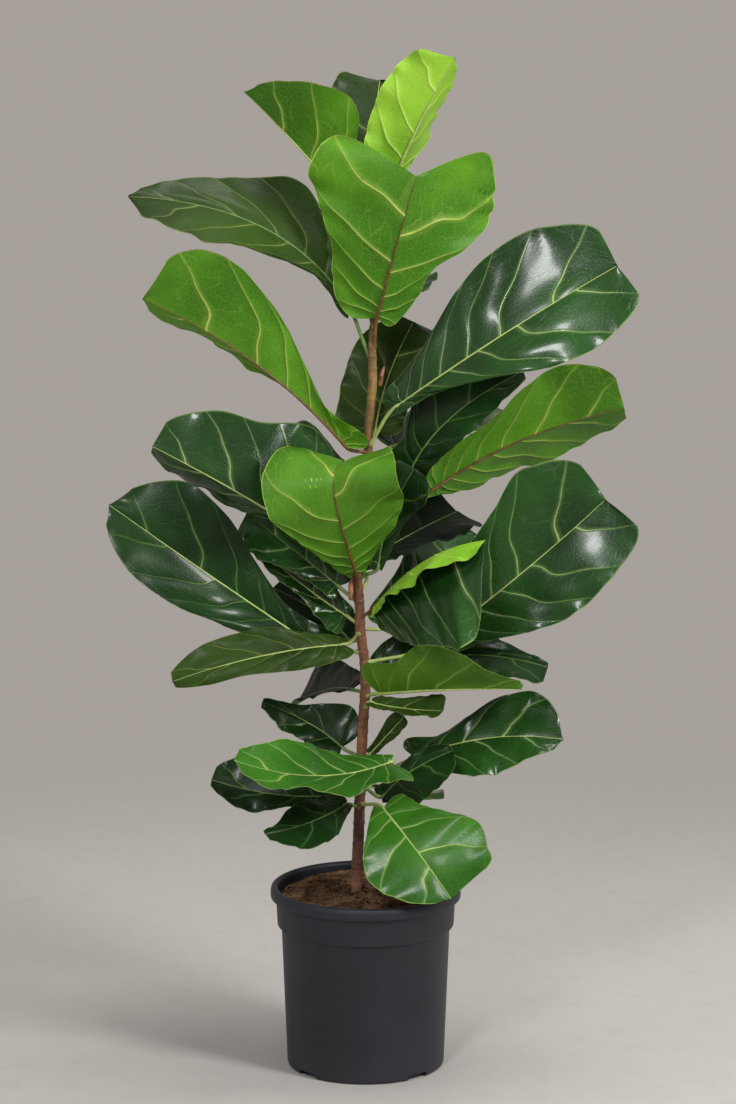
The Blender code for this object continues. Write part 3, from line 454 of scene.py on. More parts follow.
PALE = srgb(176, 190, 112)
TOPS = {   # low, high, vein, roughness, vein width, vein strength, net strength
    'deep': (srgb(14, 42, 13), srgb(30, 74, 22), srgb(158, 188, 112), 0.25, .021, .80, .06),
    'dark': (srgb(9, 30, 9), srgb(20, 54, 15), srgb(108, 144, 70), 0.30, .018, .62, .05),
    'black': (srgb(6, 17, 6), srgb(10, 28, 9), srgb(46, 74, 30), 0.40, .018, .5, .05),
    'olive': (srgb(26, 44, 14), srgb(46, 70, 20), srgb(136, 152, 82), 0.40, .020, .66, .06),
    'mid': (srgb(36, 84, 14), srgb(62, 118, 22), srgb(165, 190, 90), 0.32, .022, .75, .10),
    'bright': (srgb(28, 78, 14), srgb(56, 114, 24), srgb(170, 200, 108), 0.34, .023, .85, .07),
    'young': (srgb(86, 146, 28), srgb(124, 178, 46), srgb(196, 214, 120), 0.34, .024, .7, .12),
}
UNDERS = {
    'bright': (srgb(50, 104, 12), srgb(84, 142, 24), srgb(186, 200, 98), 0.46, .026, .85, .20),
    'heart': (srgb(44, 92, 12), srgb(74, 128, 22), srgb(176, 192, 90), 0.46, .026, .85, .18),
    # painted backlight: this bright underside colour is light shining through the leaf from behind, painted into its
    # base colour
    'painted_backlight': (srgb(104, 160, 28), srgb(142, 194, 50), srgb(204, 220, 118), 0.42, .024, .7, .20),
    'olive_under': (srgb(50, 92, 12), srgb(78, 122, 22), srgb(160, 178, 84), 0.45, .026, .75, .18),
    'mid': (srgb(48, 88, 24), srgb(72, 112, 36), srgb(146, 168, 88), 0.5, .026, .7, .20),
}
RIBS = {'pale': (srgb(150, 170, 92), PALE), 'green': (srgb(84, 112, 52), srgb(112, 140, 70)), 'brown': (srgb(82, 56, 26), srgb(118, 84, 40))}
mats = {}
for k, v in TOPS.items():
    mats['top_' + k] = blade_material('leaf_top_' + k, *v, coat={'deep': 0.34, 'bright': 0.07, 'dark': 0.12}.get(k, 0.02),
                                       spec={'deep': 0.34, 'bright': 0.30, 'dark': 0.26, 'olive': 0.18, 'black': 0.14}.get(k, 0.3))
for k, v in UNDERS.items():
    mats['under_' + k] = blade_material('leaf_under_' + k, *v, under=True)
for k, v in RIBS.items():
    mats['rib_' + k] = rib_material('leaf_rib_' + k, *v)


def mesh_object(name, verts, faces, mat_list, mat_index=None, uvs=None, smooth=True):
    me = bpy.data.meshes.new(name)
    me.from_pydata([tuple(v) for v in np.asarray(verts)], [], [tuple(f) for f in faces])
    if smooth:
        me.shade_smooth()
    for m in mat_list:
        me.materials.append(m)
    if mat_index is not None:
        me.polygons.foreach_set('material_index', np.asarray(mat_index, dtype=np.int32))
    if uvs:
        loops = np.empty(len(me.loops), dtype=np.int32)
        me.loops.foreach_get('vertex_index', loops)
        for nm, uv in uvs.items():
            layer = me.uv_layers.new(name=nm)
            layer.data.foreach_set('uv', np.asarray(uv, float)[loops].astype(np.float32).ravel())
    me.update()
    o = bpy.data.objects.new(name, me)
    bpy.context.scene.collection.objects.link(o)
    return o


def stalk_curve(leaf, n=22):
    base, t = leaf.pts[0], leaf.tan[0]
    sx, sy, r = stem_at(leaf.z)
    out = unit(np.array([base[0] - sx, base[1] - sy, 0.0]))
    tilt = unit(base - np.array([sx, sy, leaf.z]))
    tilt = unit(np.array([*(out[:2] * max(np.hypot(*tilt[:2]), 0.5)), tilt[2]]))
    start = np.array([sx, sy, leaf.z]) + out * (r * 0.55)
    span = np.linalg.norm(base - start)
    c1 = start + tilt * span * 0.35
    c2 = base - t * span * 0.35
    s = np.linspace(0, 1, n)[:, None]
    return (1 - s)**3 * start + 3 * s * (1 - s)**2 * c1 + 3 * s * s * (1 - s) * c2 + s**3 * base


def tube_arrays(path, radii, sides, up0=None, flat=1.0):
    """rings round a path (mm); the frame is carried along from the last point"""
    path = np.asarray(path, float)
    tan = unit(np.gradient(path, axis=0))
    up = np.array(up0 if up0 is not None else (0.3, 0.2, 1.0), float)
    rings = [None] * len(path)
    for i in range(len(path) - 1, -1, -1):
        up = unit(up - (up @ tan[i]) * tan[i])
        lf = np.cross(up, tan[i])
        q = np.arange(sides) * 2 * math.pi / sides
        rings[i] = path[i] + radii[i] * (np.cos(q)[:, None] * up * flat + np.sin(q)[:, None] * lf)
    return np.array(rings), tan


def ring_faces(n, sides, start=0, flip=False):
    f = []
    for i in range(n - 1):
        for k in range(sides):
            j = (k + 1) % sides
            q = (start + i * sides + k, start + (i + 1) * sides + k, start + (i + 1) * sides + j, start + i * sides + j)
            f.append(q[::-1] if flip else q)
    return f


B_COLS = np.array([0, .02, .05, .09, .14, .20, .27, .34, .42, .50, .58, .66, .74, .81, .87, .92, .96, .985, 1.0])
OFFS = np.array([-.40, -.30, -.20, -.12, -.065, -.03, 0, .03, .065, .12, .20, .30, .40, .5])


def make_leaf(row):
    leaf = Leaf(row)
    L = leaf.length
    small = L < 60
    nv = int(np.clip(round(L / 30), 4, 9))
    verts, faces, mids, uv_v, uv_f, uv_b = [], [], [], [], [], []
    wmax = max(leaf.w[1].max(), leaf.w[-1].max())
    sc = min(0.46 / (2.1 * wmax), 1 / (1.16 * L))
    for side in (1, -1):
        off = 0.0 if side > 0 else 0.36
        ks = np.arange(0, nv + 1)
        s = np.concatenate([k + OFFS for k in ks]) + off
        s = s[(s > 0.03 * nv) & (s < 0.92 * nv)]
        a = np.concatenate([[0.006, 0.014, 0.022], s[s / nv > 0.03] / nv, .92 + .08 * np.sin(np.linspace(0.02, 1, 12) * math.pi / 2)])
        a = np.unique(np.clip(a, 0, 1))
        R, C = len(a), len(B_COLS)
        A, B = np.meshgrid(a, B_COLS, indexing='ij')
        wander = 0.011 * np.sin(5.2 * B + leaf.seed + 9.0 * A) + 0.006 * np.sin(11.0 * B + 2.3 * leaf.seed + 23.0 * A)
        wander = wander * np.clip(A / 0.15, 0, 1) * np.clip((1 - A) / 0.15, 0, 1) * np.sin(np.pi * np.clip(B, 0, 1))
        p, nn, fu, fv = leaf.surface(np.clip(A + wander, 0, 1), B, side)
        S = np.clip(A * nv - off, 0.5, nv - 0.5 - off)
        d = np.abs(S - np.round(S))
        gap = L / nv * 0.8
        # puffed between the veins
        inner = np.sin(np.pi * np.clip(B, 0, 1))**0.8
        edge_a = np.clip(A / 0.12, 0, 1) * np.clip((1 - A) / 0.1, 0, 1)
        puff = 0.085 * gap * (np.abs(np.sin(np.pi * S))**0.75) * inner * edge_a
        sd = leaf.seed * 2.37 + side
        puff *= 0.75 + 0.45 * np.sin(S * 2.1 + sd) * np.sin(B * 5 + sd * 1.3)
        p = p + nn * puff[..., None]
        # gentle unevenness of the whole half
        uneven = 0.014 * L * np.sin(2.4 * fu / L * math.pi + sd) * np.sin(3.1 * B + 0.7 * sd) * B
        p = p + nn * uneven[..., None]
        taper = (1.06 - 0.72 * B) * edge_a
        mmv = np.abs(fv)
        top = 0.42 - 0.24 * taper * np.exp(-(d / 0.030)**2) - 0.5 * np.exp(-(mmv / 5.0)**2) * (not small)
        und = -(0.42 + 0.80 * taper * np.exp(-(d / 0.028)**2) * (0.3 if small else 1))
        thin = 1 - 0.45 * np.clip((B - 0.9) / 0.1, 0, 1)
        pt, pu = p + nn * (top * thin)[..., None], p + nn * (und * thin)[..., None]
        base = len(verts) and sum(len(v) for v in verts)
        base = sum(len(v) for v in verts)
        for face, q in ((0, pt), (1, pu)):
            verts.append(q.reshape(-1, 3))
            uv_v.append(np.stack([S + 20.0 + off * 0, B], -1).reshape(-1, 2))
            uv_f.append(np.stack([fu, fv], -1).reshape(-1, 2) * MM + leaf.seed * 0.37)
            uv_b.append(np.stack([0.24 + 0.48 * face + fv * sc, 0.07 + fu * sc], -1).reshape(-1, 2))
        idx = np.arange(R * C).reshape(R, C)
        q = np.stack([idx[:-1, :-1], idx[1:, :-1], idx[1:, 1:], idx[:-1, 1:]], -1).reshape(-1, 4)
        if side > 0:
            q = q[:, ::-1]
        faces.append(base + (q[:, ::-1]))
        mids += [0] * len(q)
        faces.append(base + R * C + q)
        mids += [1] * len(q)
        # rim
        e = idx[:, -1]
        rim = np.stack([e[:-1], e[1:], e[1:] + R * C, e[:-1] + R * C], -1)
        if side > 0:
            rim = rim[:, ::-1]
        faces.append(base + rim)
        mids += [0] * len(rim)
    # stalk and midrib in one tapering rib
    k = np.concatenate([np.linspace(0.02, 0.9, 34), np.linspace(0.92, 0.995, 6)])
    m, t, n, _ = leaf.frame(k)
    stalk = stalk_curve(leaf)
    ks = 0.62 if small else 1.0
    r_st = np.full(len(stalk), STALK_R * ks)
    q = np.linspace(0, 1, len(stalk))
    r_st *= 1 + 0.55 * np.exp(-(q / 0.10)**2) + 0.10 * np.exp(-((q - 1) / 0.2)**2)
    r_rib = ks * (0.42 + 1.75 * (1 - k)**1.25)
    centre = m - n * (r_rib * 0.62)[:, None]
    path = np.concatenate([stalk, centre])
    radii = np.concatenate([r_st, r_rib])
    SD = 14
    rings, _ = tube_arrays(path, radii, SD, up0=n[-1])
    base = sum(len(v) for v in verts)
    verts.append(rings.reshape(-1, 3))
    f = ring_faces(len(path), SD, base)
    faces.append(np.array(f))
    mids += [2] * len(f)
    run = np.concatenate([[0], np.cumsum(np.linalg.norm(np.diff(path, axis=0), axis=1))])
    U, V = np.meshgrid(run, np.arange(SD) * 1.0, indexing='ij')
    uv_f.append(np.stack([U * MM, V * 0.001], -1).reshape(-1, 2) + leaf.seed * 0.37)
    uv_v.append(np.stack([U * 0 + 0.5, V * 0], -1).reshape(-1, 2))
    uv_b.append(np.stack([0.955 + 0.04 * V / SD, 0.02 + 0.96 * U / run[-1]], -1).reshape(-1, 2))
    V3 = np.concatenate(verts) * MM
    lk = LOOKS[leaf.name]
    o = mesh_object(leaf.name + '_leaf', V3, np.concatenate(faces),
                    [mats['top_' + lk[0]], mats['under_' + lk[1]], mats['rib_' + lk[2]]], mids,
                    {'OFBake': np.concatenate(uv_b), 'vein': np.concatenate(uv_v), 'flat': np.concatenate(uv_f)})
    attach(o, 'root')
    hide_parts(leaf.name)
    return o


# ---- stem ----
def bark_material():
    m = Nodes('stem_bark')
    obj = m.coord('Object')
    x, y, z = m.sep(obj)
    zz = m.math('MULTIPLY', z, 1.0)
    n1 = m.noise(obj, 60, 5, 0.6)
    mp = m.new('ShaderNodeMapping')
    m.link(obj, mp.inputs['Vector'])
    mp.inputs['Scale'].default_value = (1, 1, 0.16)
    streak = m.noise(mp.outputs[0], 420, 4, 0.6)
    mr = m.new('ShaderNodeMapping')
    m.link(obj, mr.inputs['Vector'])
    mr.inputs['Scale'].default_value = (0.35, 0.35, 3.2)
    rings = m.noise(mr.outputs[0], 62, 3, 0.5)
    ramp = m.new('ShaderNodeValToRGB')
    m.link(m.ramp(zz, 0.2, 1.0, smooth=False), ramp.inputs[0])
    cr = ramp.color_ramp
    stops = ((0.0, srgb(172, 122, 102)), (0.065, srgb(146, 100, 80)), (0.12, srgb(92, 60, 44)), (0.20, srgb(84, 55, 40)), (0.27, srgb(150, 94, 66)), (0.33, srgb(118, 74, 50)),
             (0.42, srgb(142, 90, 64)), (0.52, srgb(116, 76, 50)), (0.62, srgb(84, 62, 36)), (0.72, srgb(112, 80, 46)), (0.84, srgb(150, 120, 66)), (0.93, srgb(96, 76, 40)), (1.0, srgb(84, 70, 36)))
    cr.elements[0].position, cr.elements[0].color = stops[0][0], (*stops[0][1], 1)
    cr.elements[1].position, cr.elements[1].color = stops[-1][0], (*stops[-1][1], 1)
    for pos, c in stops[1:-1]:
        e = cr.elements.new(pos)
        e.color = (*c, 1)
    col = m.mix(m.math('MULTIPLY', m.ramp(n1, 0.35, 0.7), 0.45), ramp.outputs[0], srgb(56, 36, 24))
    col = m.mix(m.math('MULTIPLY', m.ramp(streak, 0.5, 0.75), 0.5), col, srgb(168, 130, 92))
    col = m.mix(m.math('MULTIPLY', m.ramp(rings, 0.56, 0.7), 0.55), col, srgb(40, 26, 18))
    lent = m.ramp(m.noise(mr.outputs[0], 240, 2), 0.68, 0.74)
    col = m.mix(m.math('MULTIPLY', lent, 0.6), col, srgb(178, 148, 112))
    h = m.math('ADD', m.math('MULTIPLY', streak, 0.8), m.math('MULTIPLY', rings, 0.9))
    h = m.math('ADD', h, m.math('MULTIPLY', n1, 0.8))
    return m.finish(col, 0.68, m.bump(h, 0.8, 0.0012))


def make_stem():
    zs = np.arange(STEM_FOOT, STEM_TOP + 0.1, 1.6)
    SD = 36
    nodes = sorted({row[1] for row in LEAVES} | {232, 262, 285, 312, 430, 448, 741, 852, 890, 918})
    verts = []
    for i, z in enumerate(zs):
        x, y, r = stem_at(z)
        x += 0.7 * math.sin(z / 37.0) + 0.4 * math.sin(z / 15.3 + 1)
        y += 0.8 * math.sin(z / 43.0 + 2)
        if z < 225:
            k = max(0, min(1, (z - 205) / 20))
            x = STEM_X * (1 - k) + x * k
            y = y * k
        dn = min(abs(z - n) for n in nodes)
        swell = 0.55 * math.exp(-(dn / 2.6)**2) - 0.25 * math.exp(-((dn - 4.5) / 2.2)**2)
        q = np.arange(SD) * 2 * math.pi / SD
        rr = r * 0.97 + swell + 0.16 * np.sin(3 * q + z / 31.0) + 0.10 * np.sin(7 * q + z / 11.0) + 0.10 * math.sin(z / 3.1)
        verts.append(np.stack([x + rr * np.sin(q), y - rr * np.cos(q), np.full(SD, z)], 1))
    n = len(zs)
    faces = [f[::-1] for f in ring_faces(n, SD)]
    faces.append(tuple(range(SD))[::-1])
    faces.append(tuple((n - 1) * SD + k for k in range(SD)))
    # make sure the faces look outwards
    o = mesh_object('stem_bark', np.concatenate(verts) * MM, faces, [bark_material()])
    bm = bmesh.new(); bm.from_mesh(o.data)
    bmesh.ops.recalc_face_normals(bm, faces=bm.faces)
    bm.to_mesh(o.data); bm.free()
    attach(o, 'root')
    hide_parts('stem')


def sheath_material():
    m = Nodes('dry_sheath')
    obj = m.coord('Object')
    mp = m.new('ShaderNodeMapping')
    m.link(obj, mp.inputs['Vector'])
    mp.inputs['Scale'].default_value = (1, 1, 0.12)
    n = m.noise(mp.outputs[0], 700, 4)
    g = m.noise(obj, 120, 3)
    col = m.mix(m.ramp(n, 0.35, 0.7), srgb(84, 54, 30), srgb(168, 118, 78))
    col = m.mix(m.math('MULTIPLY', m.ramp(g, 0.45, 0.7), 0.5), col, srgb(196, 138, 112))
    return m.finish(col, 0.6, m.bump(n, 0.6, 0.0006))


def make_sheath(row, mat):
    """a papery pointed scale rolled round its own axis, with a second one inside it"""
    name, foot, tip, r = row
    foot, tip = np.array(foot, float), np.array(tip, float)
    axis = unit(tip - foot)
    ln = np.linalg.norm(tip - foot)
    verts, faces = [], []
    for shell, (r0, l0, gap0, tw) in enumerate(((r, 1.0, 0.16, 0.0), (r * 0.74, 0.93, 0.05, 2.2))):
        up = unit(np.cross(axis, (0.2, 1, 0.1)))
        lf = np.cross(axis, up)
        T, Q = np.meshgrid(np.linspace(0, 1, 26), np.linspace(gap0, 2 * math.pi - gap0, 22), indexing='ij')
        prof = r0 * (0.72 + 0.5 * T) * (1 - T**2.6)**0.8 + 0.06
        ang = Q + 0.9 * T + tw
        rr = prof * (1 + 0.07 * np.sin(5 * Q + 3 * T) + 0.05 * np.sin(11 * Q))
        bend = 1.6 * np.sin(T * 2.2)
        p = (foot + axis * (T * ln * l0)[..., None] + up * (rr * np.cos(ang) + bend)[..., None]
             + lf * (rr * np.sin(ang))[..., None])
        base = sum(len(v) for v in verts)
        verts.append(p.reshape(-1, 3))
        i = np.arange(26 * 22).reshape(26, 22)
        faces += (base + np.stack([i[:-1, :-1], i[1:, :-1], i[1:, 1:], i[:-1, 1:]], -1).reshape(-1, 4)).tolist()
    o = mesh_object(name + '_scale', np.concatenate(verts) * MM, faces, [mat])
    s = o.modifiers.new('thick', 'SOLIDIFY')
    s.thickness = 0.00035
    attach(o, 'root')
    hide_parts(name)


# ---- pot ----
def pot_material():
    m = Nodes('pot_plastic_soft_black')
    obj = m.coord('Object')
    fine = m.noise(obj, 1500, 3, 0.6)
    cloud = m.noise(obj, 9, 4, 0.55)
    x, y, z = m.sep(obj)
    dust = m.math('MULTIPLY', m.ramp(m.noise(obj, 55, 5, 0.7), 0.5, 0.85), 0.35)
    col = m.mix(m.ramp(cloud, 0.3, 0.75), srgb(17, 20, 30), srgb(25, 28, 41))
    low = m.ramp(z, 0.05, 0.0)
    col = m.mix(m.math('MULTIPLY', low, 0.2), col, srgb(58, 57, 60))
    col = m.mix(m.math('MULTIPLY', dust, 0.22), col, srgb(70, 71, 78))
    mp = m.new('ShaderNodeMapping')
    m.link(obj, mp.inputs['Vector'])
    mp.inputs['Scale'].default_value = (1, 1, 0.08)
    scuff = m.ramp(m.noise(mp.outputs[0], 160, 4, 0.7), 0.66, 0.74)
    col = m.mix(m.math('MULTIPLY', scuff, 0.10), col, srgb(120, 120, 124))
    r = m.math('ADD', m.math('MULTIPLY', cloud, 0.12), 0.46)
    r = m.math('ADD', r, m.math('MULTIPLY', dust, 0.3))
    h = m.math('ADD', m.math('MULTIPLY', fine, 0.5), m.math('MULTIPLY', scuff, -0.2))
    return m.finish(col, r, m.bump(h, 0.25, 0.0003))


def lathe_arrays(prof, sides):
    verts, rings = [], []
    for r, z in prof:
        q = np.arange(sides) * 2 * math.pi / sides
        verts.append(np.stack([r * np.sin(q), -r * np.cos(q), np.full(sides, z)], 1))
    return np.concatenate(verts)


def rounded(prof, rad=1.2, steps=4):
    """rounds the corners of a profile given in mm"""
    p = np.array(prof, float)
    out = [p[0]]
    for i in range(1, len(p) - 1):
        a, b, c = p[i - 1], p[i], p[i + 1]
        la, lc = np.linalg.norm(b - a), np.linalg.norm(c - b)
        k = min(rad, la * 0.45, lc * 0.45)
        s, e = b + (a - b) / la * k, b + (c - b) / lc * k
        for t in np.linspace(0, 1, steps):
            out.append((1 - t)**2 * s + 2 * t * (1 - t) * b + t * t * e)
    out.append(p[-1])
    return out


def make_pot():
    prof = [(1.0, 0), (93.5, 0), (98, .7), (BASE_R, 3), (99.4, 10), (106.2, COLLAR_Z - 1), (110.8, COLLAR_Z + .4),
            (111.4, COLLAR_Z + 2), (113, 214), (113.2, 224), (113.7, 226.6), (115, 227), (116.3, 225),
            (116.6, RIM_Z + .6), (118.2, RIM_Z - .6), (RIM_R, RIM_Z + 1), (RIM_R, 226), (118.6, 230.4),
            (116, POT_H), (114.4, POT_H), (111.6, 230.6), (110.6, 228), (110.2, 206), (108.6, 184.8),
            (106.2 - WALL, 180.6), (99 - WALL, 9), (94, 5), (89, 2.8), (1.0, 2.8)]
    prof = rounded(prof, 1.6, 4)
    SD = 180
    v = lathe_arrays(prof, SD)
    # hand-handled plastic is never perfectly round
    q = np.arctan2(v[:, 0], -v[:, 1])
    soft = np.clip(v[:, 2] / POT_H, 0, 1)**2 * 0.35 * np.sin(2 * q + 0.6)
    rr = np.hypot(v[:, 0], v[:, 1])
    keep = rr > 20
    v[keep, 0] *= 1 + (soft / rr)[keep]
    v[keep, 1] *= 1 + (soft / rr)[keep]
    faces = [f[::-1] for f in ring_faces(len(prof), SD)]
    faces += [tuple(range(SD)), tuple((len(prof) - 1) * SD + k for k in range(SD))[::-1]]
    mat = pot_material()
    o = mesh_object('pot_shell', v * MM, faces, [mat])
    bm = bmesh.new(); bm.from_mesh(o.data)
    bmesh.ops.recalc_face_normals(bm, faces=bm.faces)
    bm.to_mesh(o.data); bm.free()
    # drain notches in the foot edge
    bm = bmesh.new()
    for a in NOTCH_AT:
        ra = math.radians(a)
        made = bmesh.ops.create_cube(bm, size=1.0)['verts']
        for w in made:
            x, y, z = w.co.x * NOTCH_W * (1.0 if w.co.z < 0 else 0.86), w.co.y * 16 - 99, w.co.z * 2 * NOTCH_H
            w.co = Vector((x * math.cos(ra) - y * math.sin(ra), x * math.sin(ra) + y * math.cos(ra), z)) * MM
    bmesh.ops.recalc_face_normals(bm, faces=bm.faces)
    cm = bpy.data.meshes.new('cutter'); bm.to_mesh(cm); bm.free()
    c = bpy.data.objects.new('cutter', cm)
    bpy.context.scene.collection.objects.link(c)
    b = o.modifiers.new('notches', 'BOOLEAN'); b.object = c; b.solver = 'EXACT'
    bpy.context.view_layer.update()
    dg = bpy.context.evaluated_depsgraph_get()
    me = bpy.data.meshes.new_from_object(o.evaluated_get(dg), depsgraph=dg)
    o.modifiers.clear()
    o.data = me
    bpy.data.objects.remove(c, do_unlink=True)
    me.shade_smooth()
    me.set_sharp_from_angle(angle=math.radians(38))
    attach(o, 'root')
    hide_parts('pot')


# ---- soil ----
def soil_height(x, y):
    r = np.hypot(x, y)
    base = np.interp(r, [0, 18, 38, 60, 84, 103, 109.5], [223.6, 223.2, 222.6, 221.8, 220.4, 218, 215])
    k = np.clip((108 - r) / 30, 0, 1)
    z = base + k * (1.2 * np.sin(x / 17 + 0.7) * np.cos(y / 21) + 0.9 * np.sin(y / 13 + x / 31 + 2.1)) + 0.055 * y * k
    return z


def lumps(x, y, rng_seed=3, n=900):
    """rounded crumbs pressed into the surface"""
    rng = np.random.default_rng(rng_seed)
    z = np.zeros_like(x)
    cx, cy = rng.uniform(-106, 106, n), rng.uniform(-106, 106, n)
    rr, hh = rng.uniform(1.6, 6.5, n), rng.uniform(0.6, 3.0, n)
    for a, b, r, h in zip(cx, cy, rr, hh):
        d2 = ((x - a)**2 + (y - b)**2) / r**2
        m = d2 < 4
        z[m] = np.maximum(z[m], h * np.exp(-d2[m] * 1.6))
    return z


def soil_material():
    m = Nodes('soil_coir_peat')
    obj = m.coord('Object')
    n1 = m.noise(obj, 110, 6, 0.7)
    n2 = m.noise(obj, 520, 5, 0.7)
    v = m.voronoi(obj, 240, feature='F1')
    col = m.mix(m.ramp(n1, 0.3, 0.7), srgb(24, 16, 12), srgb(62, 42, 31))
    col = m.mix(m.math('MULTIPLY', m.ramp(n2, 0.5, 0.8), 0.55), col, srgb(104, 75, 55))
    col = m.mix(m.math('MULTIPLY', m.ramp(v, 0.5, 0.9), 0.5), col, srgb(20, 12, 8))
    h = m.math('ADD', m.math('MULTIPLY', n1, 1.4), n2)
    return m.finish(col, 0.92, m.bump(h, 1.0, 0.003), Specular_IOR_Level=0.2)


def strand_material(name, a, b, c):
    m = Nodes(name)
    obj = m.coord('Object')
    n = m.noise(obj, 45, 3)
    f = m.noise(obj, 900, 3)
    col = m.mix(m.ramp(n, 0.35, 0.65), a, b)
    col = m.mix(m.math('MULTIPLY', m.ramp(f, 0.5, 0.75), 0.6), col, c)
    return m.finish(col, 0.8, m.bump(f, 0.5, 0.0004), Specular_IOR_Level=0.3)


def make_soil():
    soil = soil_material()
    # fine top surface and plain hidden sides
    radii = np.concatenate([np.linspace(9.2, 106.5, 98), [108.0, 109.2]])
    SD = 300
    verts, faces = [], []
    q = np.arange(SD) * 2 * math.pi / SD
    for r in radii:
        cx = STEM_X * max(0.0, 1 - (r - 9.2) / 40)
        x, y = r * np.sin(q) + cx, -r * np.cos(q)
        z = soil_height(x, y) + lumps(x, y) * min(1, (109.2 - r) / 4) - 0.6
        verts.append(np.stack([x, y, z], 1))
    for r, z in ((109.0, 206), (107.2, 185.6), (102.7, 181.2), (95.6, 9.5), (93, 5.5), (60, 3.2), (1, 3.2)):
        verts.append(np.stack([r * np.sin(q), -r * np.cos(q), np.full(SD, float(z))], 1))
    n = len(verts)
    faces = ring_faces(n, SD)
    faces.append(tuple((n - 1) * SD + k for k in range(SD)))
    # the well round the stem
    verts.append(np.stack([8.6 * np.sin(q) + STEM_X, -8.6 * np.cos(q), np.full(SD, 196.0)], 1))
    m0 = n * SD
    faces += [(k, m0 + k, m0 + (k + 1) % SD, (k + 1) % SD)[::-1] for k in range(SD)]
    faces.append(tuple(m0 + k for k in range(SD)))
    o = mesh_object('soil_bed', np.concatenate(verts) * MM, faces, [soil])
    bm = bmesh.new(); bm.from_mesh(o.data)
    bmesh.ops.recalc_face_normals(bm, faces=bm.faces)
    bm.to_mesh(o.data); bm.free()
    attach(o, 'root'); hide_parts('soil')
    # loose chips of bark and peat
    rng = np.random.default_rng(5)
    verts, faces = [], []
    ico = bmesh.new(); bmesh.ops.create_icosphere(ico, subdivisions=1, radius=1.0)
    iv = np.array([v.co[:] for v in ico.verts]); ifc = [[v.index for v in f.verts] for f in ico.faces]; ico.free()
    cnt = 0
    for i in range(3400):
        r = 108 * math.sqrt(rng.uniform()); t = rng.uniform(0, 2 * math.pi)
        x, y = r * math.cos(t), r * math.sin(t)
        if math.hypot(x - STEM_X, y) < 10.5:
            continue
        s = rng.uniform(0.7, 1.0) * (3.3 if rng.uniform() < 0.16 else 1.5)
        if r + s > 109:
            continue
        sz = np.array([s, s * rng.uniform(.45, .9), s * rng.uniform(.25, .6)])
        p = iv * (1 + 0.28 * rng.standard_normal((len(iv), 1))) * sz
        a, b2 = rng.uniform(0, 2 * math.pi), rng.uniform(-0.6, 0.6)
        ca, sa, cb, sb = math.cos(a), math.sin(a), math.cos(b2), math.sin(b2)
        rot = np.array([[ca, -sa, 0], [sa, ca, 0], [0, 0, 1]]) @ np.array([[cb, 0, sb], [0, 1, 0], [-sb, 0, cb]])
        p = p @ rot.T + np.array([x, y, float(soil_height(np.array([x]), np.array([y]))[0]) + 0.25])
        verts.append(p); faces += [[j + cnt for j in f] for f in ifc]; cnt += len(p)
    o = mesh_object('soil_chips', np.concatenate(verts) * MM, faces,
                    [strand_material('soil_chips', srgb(36, 23, 15), srgb(98, 64, 42), srgb(150, 108, 74))], smooth=False)
    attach(o, 'root')
    # coconut fibres
    verts, faces = [], []
    cnt = 0
    for i in range(2600):
        r = 107 * math.sqrt(rng.uniform()); t = rng.uniform(0, 2 * math.pi)
        x, y = r * math.cos(t), r * math.sin(t)
        ln = rng.uniform(8, 30) * (1.0 if rng.uniform() < .85 else 1.5)
        head, turn = rng.uniform(0, 2 * math.pi), rng.uniform(-0.10, 0.10)
        rad = rng.uniform(0.16, 0.40)
        n = 9
        pts = []
        lift = rng.uniform(0.3, 4.2)
        for k in range(n):
            s = k / (n - 1)
            if math.hypot(x, y) > 108.5 or math.hypot(x - STEM_X, y) < 9.5:
                break
            z = float(soil_height(np.array([x]), np.array([y]))[0]) + 0.3 + lift * math.sin(math.pi * s) * 0.9
            pts.append((x, y, z))
            x += ln / n * math.cos(head); y += ln / n * math.sin(head)
            head += turn * ln / 4 + rng.uniform(-0.25, 0.25)
        if len(pts) < 4:
            continue
        rings, _ = tube_arrays(pts, [rad * (1 - 0.5 * abs(2 * k / (len(pts) - 1) - 1)) for k in range(len(pts))], 4)
        verts.append(rings.reshape(-1, 3))
        faces += ring_faces(len(pts), 4, cnt)
        cnt += rings.shape[0] * 4
    o = mesh_object('soil_fibres', np.concatenate(verts) * MM, faces,
                    [strand_material('soil_fibres', srgb(92, 64, 46), srgb(164, 126, 92), srgb(206, 174, 140))])
    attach(o, 'root')


make_pot()
make_soil()
make_stem()
dry = sheath_material()
for r in SHEATHS:
    make_sheath(r, dry)
for r in LEAVES:
    make_leaf(r)

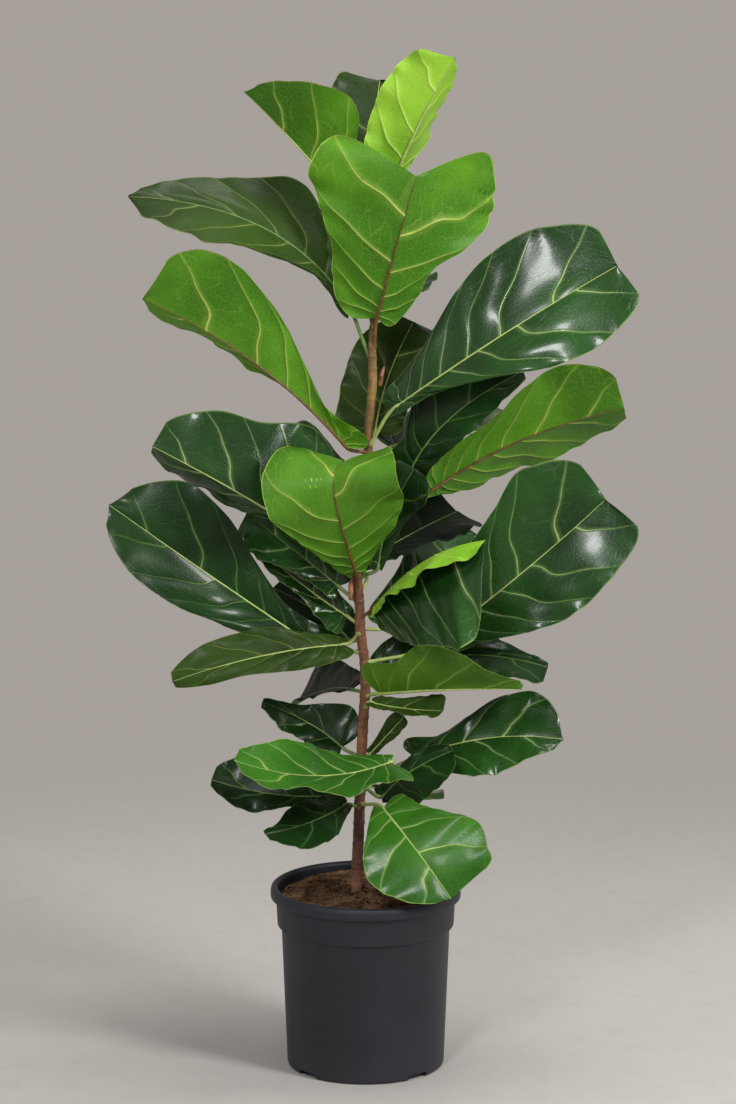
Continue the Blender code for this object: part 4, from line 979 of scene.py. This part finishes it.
# ---- stage, light and camera ----
def stage_floor():
    m = Nodes('floor_plain')
    obj = m.coord('Object')
    n = m.noise(obj, 1.3, 3)
    g = m.noise(obj, 26, 6, 0.7)
    col = m.mix(n, srgb(176, 174, 171), srgb(186, 184, 181))
    col = m.mix(m.math('MULTIPLY', m.ramp(g, 0.45, 0.75), 0.25), col, srgb(158, 156, 153))
    m.finish(col, 0.75, None)
    x, y, z = m.sep(obj)
    r = m.math('SQRT', m.math('ADD', m.math('MULTIPLY', x, x), m.math('MULTIPLY', y, y)))
    clear = m.new('ShaderNodeBsdfTransparent')
    mix = m.new('ShaderNodeMixShader')
    m.link(m.ramp(r, 0.75, 1.9), mix.inputs[0])
    m.link(m.bsdf.outputs[0], mix.inputs[1])
    m.link(clear.outputs[0], mix.inputs[2])
    m.link(mix.outputs[0], m.t.nodes['Material Output'].inputs['Surface'])
    s = 2.0
    o = mesh_object('floor', [(-s, -s, -0.0004), (s, -s, -0.0004), (s, s, -0.0004), (-s, s, -0.0004)], [(0, 1, 2, 3)], [m.mat], smooth=False)


stage_floor()


def area(name, loc, target, size, power, color=(1, 1, 1), size_y=None):
    d = bpy.data.lights.new(name, 'AREA')
    d.energy, d.color, d.size = power, color, size
    if size_y:
        d.shape, d.size_y = 'RECTANGLE', size_y
    o = bpy.data.objects.new(name, d)
    bpy.context.scene.collection.objects.link(o)
    o.location = loc
    o.rotation_euler = (Vector(target) - Vector(loc)).to_track_quat('-Z', 'Y').to_euler()
    return o


area('key', (2.3, -1.9, 2.5), (0.05, 0, 0.65), 0.75, 96, (1.0, 0.985, 0.955), 1.1)
area('window', (-0.95, -3.3, 2.9), (0.1, 0, 0.8), 0.5, 52, (0.98, 0.99, 1.0), 1.0)
area('fill', (-3.2, -1.4, 1.4), (0, 0, 0.6), 2.0, 5, (0.95, 0.97, 1.0), 1.6)
area('top', (0.5, 0.2, 3.4), (0, 0, 0.9), 1.0, 40, (1.0, 0.99, 0.95))

w = bpy.data.worlds.new('studio')
bpy.context.scene.world = w
w.use_nodes = True
w.node_tree.nodes['Background'].inputs[0].default_value = (0.385, 0.352, 0.330, 1)
w.node_tree.nodes['Background'].inputs[1].default_value = 1.0

cam = bpy.data.cameras.new('camera')
cam.sensor_width = 36
cam.sensor_fit = 'AUTO'
cam.lens = 4515 / 1104 * 36
cam.clip_end = 200
co = bpy.data.objects.new('camera', cam)
bpy.context.scene.collection.objects.link(co)
co.location = (0.003, -5.5, 1.75)
co.rotation_euler = (math.radians(90 - 11.22), 0, 0)
bpy.context.scene.camera = co
vs = bpy.context.scene.view_settings
vs.view_transform = 'Standard'
vs.look = 'None'
vs.exposure = 0.0
